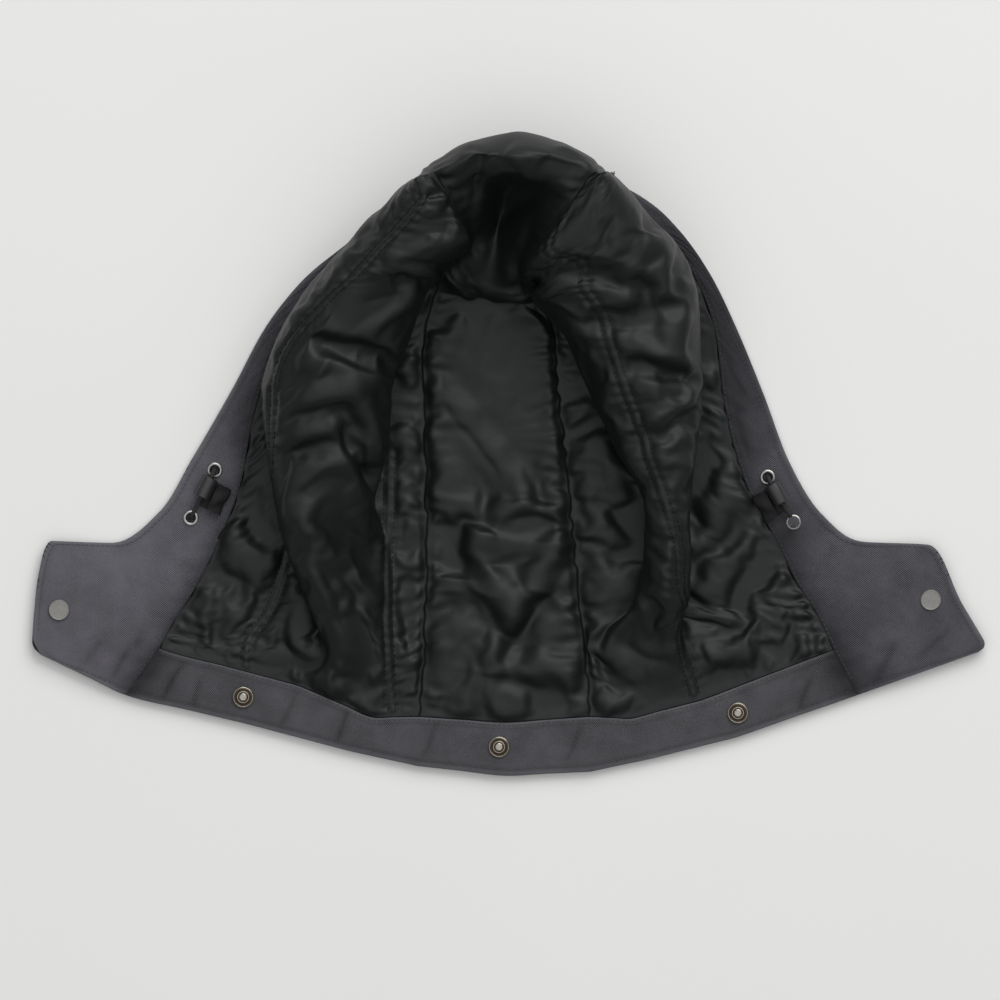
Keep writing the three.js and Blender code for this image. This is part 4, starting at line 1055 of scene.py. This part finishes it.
SIDE_ROWS = slice(0, ROW["facing_seam"] + 1)
BAND_ROWS = slice(0, ROW["neck"] + 1)
facing_columns = {"left": slice(0, LEFT_SEAM + 1), "right": slice(RIGHT_SEAM, LAST + 1)}
OTHER_SIDE = {"left": "right", "right": "left"}
FACING_SEEDS = {"left": 71, "right": 81}
facing_tops = {}
facings = {}
for side, columns in facing_columns.items():
    seam_side = OTHER_SIDE[side]
    top, wear_and_shade = canvas_top(SIDE_ROWS, columns, [side, "bottom"], FACING_SEEDS[side])
    # Painted light and shade on the facings: lighter on the left, darker on the right, and darker beside
    # the rolls
    wear_and_shade += PAINTED_SIDE_LIGHT[side] - PAINTED_ROLL_SHADE * ramp(rows_at[SIDE_ROWS], AT["ear"], AT["temple"])[:, None]
    facing_tops[side] = top
    facings[side] = closed_sheet(
        "canvas_facing_" + side, drawn_back(top, [seam_side]),
        drawn_back(inside_under[SIDE_ROWS, columns], [seam_side]),
        FACING_CLOTH, ["facing_" + side], wear_and_shade=wear_and_shade,
    )
crown_rows = slice(ROW["facing_seam"], FINE_ROWS + 1)
closed_sheet("canvas_facing_crown",
             drawn_back(surface[crown_rows, PANEL_COLUMNS["centre"]], ["left", "right", "bottom"]),
             drawn_back(inside_under[crown_rows, PANEL_COLUMNS["centre"]], ["left", "right", "bottom"]),
             FACING_CLOTH, ["facing_crown"])
band_columns = slice(LEFT_SEAM, RIGHT_SEAM + 1)
# The band's colour shift holds worn edges and painted shade, as on the facings
band_top, band_wear_and_shade = canvas_top(BAND_ROWS, band_columns, ["bottom", "top"], 91)
closed_sheet("canvas_neck_band", drawn_back(band_top, ["left", "right", "top"]),
             drawn_back(inside_under[BAND_ROWS, band_columns], ["left", "right", "top"]),
             BAND_CLOTH, ["neck_band"], wear_and_shade=band_wear_and_shade)

# Shell panels
shell_columns = {"left": slice(0, LEFT_RAIL + 1), "centre": slice(LEFT_RAIL, RIGHT_RAIL + 1),
                 "right": slice(RIGHT_RAIL, LAST + 1)}
for side, columns in shell_columns.items():
    rows = slice(0, FINE_ROWS + 1) if side == "centre" else SIDE_ROWS
    borders = ["left", "right"] if side == "centre" else ["left", "right", "bottom"]
    outside = drawn_back(shell_under[rows, columns][::2, ::2], borders, 0.3)
    inside = drawn_back(shell_top[rows, columns][::2, ::2], borders, 0.3)
    closed_sheet("canvas_shell_" + side, outside, inside, CANVAS_CLOTH,
                 ["shell_" + side], coarser=1)


# Turned pieces
def lathed(name, profile, sides=48):
    """Turned piece. The profile lists radius and height, and closes on itself or on the axis."""
    work = bmesh.new()
    rings = []
    for radius, height in profile:
        if radius < 1e-6:
            rings.append([work.verts.new((0, 0, height * MM))])
        else:
            rings.append([
                work.verts.new((radius * MM * math.cos(2 * math.pi * k / sides),
                                radius * MM * math.sin(2 * math.pi * k / sides), height * MM))
                for k in range(sides)
            ])
    pairs = list(zip(rings, rings[1:]))
    if len(rings[0]) > 1 and len(rings[-1]) > 1:
        pairs.append((rings[-1], rings[0]))
    for low, high in pairs:
        for k in range(sides):
            n = (k + 1) % sides
            corners = [low[k % len(low)], low[n % len(low)], high[n % len(high)], high[k % len(high)]]
            corners = list(dict.fromkeys(corners))
            if len(corners) > 2:
                work.faces.new(corners)
    bmesh.ops.recalc_face_normals(work, faces=work.faces)
    mesh = bpy.data.meshes.new(name)
    work.to_mesh(mesh)
    work.free()
    for face in mesh.polygons:
        face.use_smooth = True
    mesh.set_sharp_from_angle(angle=math.radians(40))
    return mesh


def rounded(profile, radius, count=3):
    """A profile with its corners rounded by about radius."""
    points = [np.array(p, float) for p in profile]
    out = [points[0]]
    for before, here, after in zip(points, points[1:], points[2:]):
        a, b = before - here, after - here
        la, lb = np.linalg.norm(a), np.linalg.norm(b)
        if min(la, lb) < 1e-6 or here[0] < 1e-6:
            out.append(here)
            continue
        cut = min(radius, la * 0.4, lb * 0.4)
        start, end = here + a / la * cut, here + b / lb * cut
        for k in range(count + 1):
            t = k / count
            out.append((1 - t) ** 2 * start + 2 * t * (1 - t) * here + t * t * end)
    out.append(points[-1])
    return out


def turned(name, profile, place, material, slot, nodes, turn=None):
    mesh = lathed(name, rounded(profile, EDGE_ROUNDING))
    if turn is not None:
        mesh.transform(turn)
    for vertex in mesh.vertices:
        vertex.co.x += place[0] * MM
        vertex.co.y += place[1] * MM
        vertex.co.z += place[2] * MM
    return placed(mesh, name, material, nodes)


# Eyelet holes through the facings
for side, facing in facings.items():
    for share in EYELETS[side].values():
        x, y, _ = plan(*share)
        radius = EYELET_BORE + EYELET_WALL + CLEARANCE
        cutter_mesh = lathed("cutter", [(0, -5), (radius, -5), (radius, 20), (0, 20)], 32)
        cutter = bpy.data.objects.new("cutter", cutter_mesh)
        cutter.location = (x * MM, y * MM, 0)
        bpy.context.scene.collection.objects.link(cutter)
        boolean = facing.modifiers.new("hole", "BOOLEAN")
        boolean.operation = "DIFFERENCE"
        boolean.solver = "EXACT"
        boolean.object = cutter
        bpy.context.view_layer.update()
        cut = facing.evaluated_get(bpy.context.evaluated_depsgraph_get())
        done = bpy.data.meshes.new_from_object(cut)
        facing.modifiers.clear()
        facing.data = done
        bpy.data.objects.remove(cutter)

# Snaps
seat = BAND_LIFT + CANVAS_BED + CLEARANCE
rim = seat + RIM_HEIGHT
dish = seat + 0.4 * RIM_HEIGHT
top = seat + STUD_HEIGHT
STUD_PROFILE = [
    (0, 0), (PLATE_RADIUS, 0), (PLATE_RADIUS, PLATE_THICKNESS), (POST_RADIUS, PLATE_THICKNESS),
    (POST_RADIUS, seat), (SNAP_RADIUS, seat), (SNAP_RADIUS, rim - 0.3 * RIM_HEIGHT),
    (0.9 * SNAP_RADIUS, rim), (0.78 * SNAP_RADIUS, dish), (1.08 * COLLAR_RADIUS, dish),
    (COLLAR_RADIUS, rim), (0.82 * COLLAR_RADIUS, rim), (0.74 * COLLAR_RADIUS, dish),
    (0.7 * STUD_RADIUS, dish), (0.7 * STUD_RADIUS, top - 0.5 * STUD_RADIUS),
    (STUD_RADIUS, top - 0.4 * STUD_RADIUS), (STUD_RADIUS, top - 0.15 * STUD_RADIUS),
    (0.75 * STUD_RADIUS, top), (0, top),
]
GROOVES = {  # inner and outer radius of the dark rings that paint shade into the studs' grooves
    "outer": (COLLAR_RADIUS, 0.84 * SNAP_RADIUS),
    "inner": (0.9 * STUD_RADIUS, 0.8 * COLLAR_RADIUS),
}
for name, share in BAND_SNAPS.items():
    turned("stud_" + name, STUD_PROFILE, plan(*share), SILVER, "snap", ["snap_stud_" + name])
    for groove, (inner, outer) in GROOVES.items():
        ring = [(inner, dish - 0.05), (outer, dish - 0.05), (outer, dish + 0.12), (inner, dish + 0.12)]
        turned("groove_%s_%s" % (groove, name), ring, plan(*share), GROOVE_SHADE_METAL, "snap", [])
flap_seat = FLAP_LIFT + CANVAS_BED + CLEARANCE
CAP_PROFILE = [
    (0, 0.7 * SOCKET_HEIGHT), (SOCKET_BORE, 0.7 * SOCKET_HEIGHT), (SOCKET_BORE, 0), (PLATE_RADIUS, 0),
    (PLATE_RADIUS, SOCKET_HEIGHT), (POST_RADIUS, SOCKET_HEIGHT), (POST_RADIUS, flap_seat),
    (SNAP_RADIUS, flap_seat), (SNAP_RADIUS, flap_seat + 0.6 * CAP_HEIGHT),
    (0.93 * SNAP_RADIUS, flap_seat + CAP_HEIGHT), (0.84 * SNAP_RADIUS, flap_seat + 0.78 * CAP_HEIGHT),
    (0, flap_seat + 0.82 * CAP_HEIGHT),
]
for name, share in FLAP_SNAPS.items():
    turned("cap_" + name, CAP_PROFILE, plan(*share), CAP_METAL, "cap", ["flap_snap_" + name])
barrel = EYELET_BORE + EYELET_WALL
eyelet_seat = CANVAS_BED + CLEARANCE
EYELET_PROFILE = [
    (EYELET_BORE, CANVAS + LAYER_GAP), (barrel, CANVAS + LAYER_GAP), (barrel, eyelet_seat),
    (EYELET_RADIUS, eyelet_seat), (0.96 * EYELET_RADIUS, eyelet_seat + 0.6 * EYELET_RISE),
    (0.8 * EYELET_RADIUS, eyelet_seat + EYELET_RISE), (0.98 * barrel, eyelet_seat + 0.8 * EYELET_RISE),
    (EYELET_BORE, eyelet_seat + 0.2 * EYELET_RISE),
]
for side, levels in EYELETS.items():
    for level, share in levels.items():
        turned("ring_%s_%s" % (side, level), EYELET_PROFILE, plan(*share), EYELET_METAL, "eyelet",
               ["eyelet_%s_%s" % (side, level)])


# Tubes along a path: the cords and the stitches
def tube(work, path, radius, sides):
    """Adds a closed tube to a bmesh."""
    path = np.asarray(path, float)
    way = np.gradient(path, axis=0)
    way /= np.linalg.norm(way, axis=1, keepdims=True)
    guide = np.array([0.0, 0.0, 1.0]) if abs(way[0][2]) < 0.8 else np.array([1.0, 0.0, 0.0])
    rings = []
    for point, direction in zip(path, way):
        side_way = np.cross(direction, guide)
        side_way /= max(np.linalg.norm(side_way), TINY)
        guide = np.cross(side_way, direction)
        rim_points = [point + radius * (math.cos(a) * side_way + math.sin(a) * guide)
                      for a in np.linspace(0, 2 * math.pi, sides, endpoint=False)]
        rings.append([work.verts.new((spot * MM).tolist()) for spot in rim_points])
    for low, high in zip(rings, rings[1:]):
        for k in range(sides):
            work.faces.new([low[k], low[(k + 1) % sides], high[(k + 1) % sides], high[k]])
    work.faces.new(rings[0][::-1])
    work.faces.new(rings[-1])


def finished(work, name, smooth=True):
    bmesh.ops.recalc_face_normals(work, faces=work.faces)
    mesh = bpy.data.meshes.new(name)
    work.to_mesh(mesh)
    work.free()
    for face in mesh.polygons:
        face.use_smooth = smooth
    return mesh


LOCK_AXIS = CANVAS_BED + 2 * CLEARANCE + TAPE_THICKNESS + LOCK_RADIUS


def lock_frame(side):
    lower, upper = plan(*EYELETS[side]["lower"]), plan(*EYELETS[side]["upper"])
    along = (upper - lower) / np.linalg.norm(upper - lower)
    centre = between(lower, upper, LOCK_PLACE)
    centre[2] = LOCK_AXIS
    return lower, upper, along, centre


def at_height(point, height):
    return np.array([point[0], point[1], height])


for side in ("left", "right"):
    lower, upper, along, centre = lock_frame(side)
    foot = CANVAS + LAYER_GAP + CLEARANCE
    lip = CANVAS_BED + CLEARANCE + EYELET_RISE
    arc = LOCK_AXIS - lip
    corners = np.array([
        at_height(lower, foot), at_height(lower, lip),
        at_height(lower + along * 0.55 * arc, lip + 0.45 * arc),
        centre + along * (LOCK_CUP_DEPTH - LOCK_LENGTH / 2), centre + along * LOCK_LENGTH / 2,
        at_height(upper - along * 0.05 * arc, lip + 0.62 * arc),
        at_height(upper, lip), at_height(upper, foot),
    ])
    knots = knots_of(corners)
    work = bmesh.new()
    tube(work, curve(knots, corners, np.linspace(0, knots[-1], 60)), CORD_RADIUS, 14)
    placed(finished(work, "cord_" + side), "cord_" + side, CORD_CLOTH, ["draw_cord_" + side])

    bore = CORD_RADIUS + CLEARANCE + 0.3
    cup = LOCK_RADIUS - LOCK_CUP_WALL
    half = LOCK_LENGTH / 2
    barrel_profile = [
        (bore, half), (0.86 * LOCK_RADIUS, half),
        (LOCK_RADIUS, half - 0.14 * LOCK_RADIUS), (LOCK_RADIUS, -half),
        (cup, -half), (cup, LOCK_CUP_DEPTH - half), (bore, LOCK_CUP_DEPTH - half),
    ]
    angle = math.atan2(along[1], along[0])
    lay = Matrix.Rotation(angle, 4, "Z") @ Matrix.Rotation(math.pi / 2, 4, "Y")
    turned("barrel_" + side, barrel_profile, centre, LOCK_PLASTIC, "lock", ["cord_lock_" + side], lay)

    # Folded tape between the lock and the lining seam
    far = TAB_REACH
    low = TAPE_THICKNESS / 2 + CLEARANCE
    rise = LOCK_RADIUS + TAPE_THICKNESS
    near = LOCK_RADIUS + CLEARANCE + TAPE_THICKNESS / 2
    run = np.array([(0.15 * LOCK_RADIUS, low), (0.5 * far, low), (far - 0.6 * rise, low + 0.03 * rise),
                    (far - 0.15 * rise, 0.4 * rise), (far - 0.7 * rise, 0.75 * rise), (near + 0.3, rise)])
    knots = knots_of(run)
    line = curve(knots, run, np.linspace(0, knots[-1], 28))
    outward = np.array([-along[1], along[0], 0]) * (-1 if side == "left" else 1)
    tape = bmesh.new()
    way = np.gradient(line, axis=0)
    way /= np.linalg.norm(way, axis=1, keepdims=True)
    square = np.stack([-way[:, 1], way[:, 0]], 1) * TAPE_THICKNESS / 2
    loops = []
    widths = np.linspace(-0.5, 0.5, 9)
    for step, (point, off) in enumerate(zip(line, square)):
        ring = []
        for flat, places in ((point + off, widths), (point - off, widths[::-1])):
            for place in places:
                crease = 0.5 * math.sin(9 * place + 0.35 * step) * min(1, flat[0] / far + 0.3)
                spot = centre + outward * (flat[0] + crease) + along * (place * TAPE_SPREAD - 3.0)
                spot[2] = CANVAS_BED + flat[1] + 0.4 * crease * (point[1] > 1.5 * low)
                ring.append(tape.verts.new((spot * MM).tolist()))
        loops.append(ring)
    for a, b in zip(loops, loops[1:]):
        for k in range(len(a)):
            n = (k + 1) % len(a)
            tape.faces.new([a[k], a[n], b[n], b[k]])
    tape.faces.new(loops[0])
    tape.faces.new(loops[-1])
    tape_mesh = finished(tape, "tape_" + side, smooth=False)
    placed(tape_mesh, "tape_" + side, TAPE_CLOTH, ["lock_tab_" + side])


# Stitches
def at_lengths(t, run, values):
    """Values at the lengths t along a path, one column for each axis."""
    return np.array([np.interp(t, run, values[:, c]) for c in range(3)]).T


def stitch_run(work, path, normal, pitch, length, radius):
    """Short threads along a path, each dipping into the cloth at both ends."""
    run = length_along(path)
    for start in np.arange(pitch, run[-1] - pitch, pitch):
        t = start + np.linspace(0, length, 5)
        dip = np.array([-radius * 1.1, radius * 0.3, radius * 0.6, radius * 0.3, -radius * 1.1])
        tube(work, at_lengths(t, run, path) + at_lengths(t, run, normal) * dip[:, None], radius, 5)


def column_path(points, normal, rows, away, side):
    """Points at a distance from a patch's left or right border, row by row."""
    out, out_normal = [], []
    for i in rows:
        run = length_along(points[i])
        if run[-1] < 2 * away:
            continue
        t = away if side == "left" else run[-1] - away
        out.append(at_lengths(t, run, points[i]))
        out_normal.append(at_lengths(t, run, normal[i]))
    return np.array(out), np.array(out_normal)


def stitched(name, runs, material, pitch=3.0, length=2.2, radius=0.24):
    work = bmesh.new()
    for path, normal in runs:
        if len(path) > 2:
            stitch_run(work, path, normal, pitch, length, radius)
    placed(finished(work, name), name, material, [])


for side, columns in facing_columns.items():
    top, normal = facing_tops[side], even_normals[SIDE_ROWS, columns]
    flip = top.transpose(1, 0, 2), normal.transpose(1, 0, 2)
    runs = [
        column_path(top, normal, range(6, top.shape[0] - 26, 2), TOPSTITCH, side),
        column_path(top, normal, range(6, top.shape[0] - 26, 2), 1.4, OTHER_SIDE[side]),
        column_path(*flip, range(2, flip[0].shape[0] - 1), TOPSTITCH, "left"),
    ]
    stitched("facing_stitches_" + side, runs, THREAD)
band_normal = even_normals[BAND_ROWS, band_columns]
flip = band_top.transpose(1, 0, 2), band_normal.transpose(1, 0, 2)
stitched("band_stitches", [
    column_path(*flip, range(1, flip[0].shape[0] - 1), TOPSTITCH, "left"),
    column_path(*flip, range(1, flip[0].shape[0] - 1), 1.5, "right"),
], THREAD)

lining_normal = normals_of(lining, 2)
quilt_runs = []
for first, last, columns in quilt_lines.values():
    for offset in (-DOUBLE_STITCH, DOUBLE_STITCH):
        path, normal = [], []
        for i in range(first, last + 1, 2):
            middle = np.interp(columns[i - first], np.arange(LAST + 1), across[i])
            column = np.interp(middle + offset, across[i], np.arange(LAST + 1))
            low = int(column)
            share = column - low
            path.append(between(lining[i, low], lining[i, low + 1], share))
            normal.append(between(lining_normal[i, low], lining_normal[i, low + 1], share))
        quilt_runs.append((np.array(path), np.array(normal)))
stitched("quilting_stitches", quilt_runs, LINING_THREAD, radius=0.2)

# Floor, light and camera
FLOOR_REACH = 3.0
FLOOR_DROP = 0.0005
floor_corners = [(x * FLOOR_REACH, y * FLOOR_REACH, -FLOOR_DROP)
                 for x, y in ((-1, -1), (1, -1), (1, 1), (-1, 1))]
floor_mesh = bpy.data.meshes.new("floor")
floor_mesh.from_pydata(floor_corners, [], [(0, 1, 2, 3)])
floor = bpy.data.objects.new("floor", floor_mesh)
bpy.context.scene.collection.objects.link(floor)
board = Nodes("floor_board")
off_white = board.mix_colour(board.noise(300.0, 2.0), (0.79, 0.79, 0.775), (0.82, 0.82, 0.80))
board.set(Base_Color=off_white, Roughness=0.9)
board.bump(board.noise(3.0, 3.0), 0.05, 0.2)
floor.data.materials.append(board.material)

scene = bpy.context.scene
world = bpy.data.worlds.new("room")
scene.world = world
world.use_nodes = True
sky = world.node_tree
height = sky.nodes.new("ShaderNodeSeparateXYZ")
sky.links.new(sky.nodes.new("ShaderNodeTexCoord").outputs["Generated"], height.inputs[0])
upper = sky.nodes.new("ShaderNodeMath")
upper.operation = "POWER"
sky.links.new(height.outputs["Z"], upper.inputs[0])
upper.inputs[1].default_value = 3.0
glow = sky.nodes.new("ShaderNodeMapRange")
sky.links.new(upper.outputs[0], glow.inputs["Value"])
glow.inputs["To Min"].default_value = 0.14  # the room's walls
glow.inputs["To Max"].default_value = 1.33  # the soft light overhead
sky.links.new(glow.outputs["Result"], sky.nodes["Background"].inputs["Strength"])
sky.nodes["Background"].inputs["Color"].default_value = (0.985, 0.99, 1.0, 1)


def lamp(name, place, aim, size, power):
    data = bpy.data.lights.new(name, "AREA")
    data.shape = "RECTANGLE"
    data.size, data.size_y = size
    data.energy = power
    light = bpy.data.objects.new(name, data)
    light.location = place
    way = np.array(aim) - np.array(place)
    light.rotation_mode = "QUATERNION"
    light.rotation_quaternion = Vector(way).to_track_quat("-Z", "Y")
    scene.collection.objects.link(light)


lamp("window", (1.1, 3.2, 2.8), (0, 0, 0), (4.2, 3.2), 130.0)

PIXEL = 0.6  # millimetres to a pixel of the photograph
ORIGIN_PIXEL = (509, 454)  # where X and Y are nought
camera_data = bpy.data.cameras.new("camera")
camera_data.type = "ORTHO"
camera_data.ortho_scale = 1000 * PIXEL * MM
camera = bpy.data.objects.new("camera", camera_data)
camera.location = ((500 - ORIGIN_PIXEL[0]) * PIXEL * MM, (ORIGIN_PIXEL[1] - 500) * PIXEL * MM, 2.0)
scene.collection.objects.link(camera)
scene.camera = camera
scene.view_settings.view_transform = "Standard"
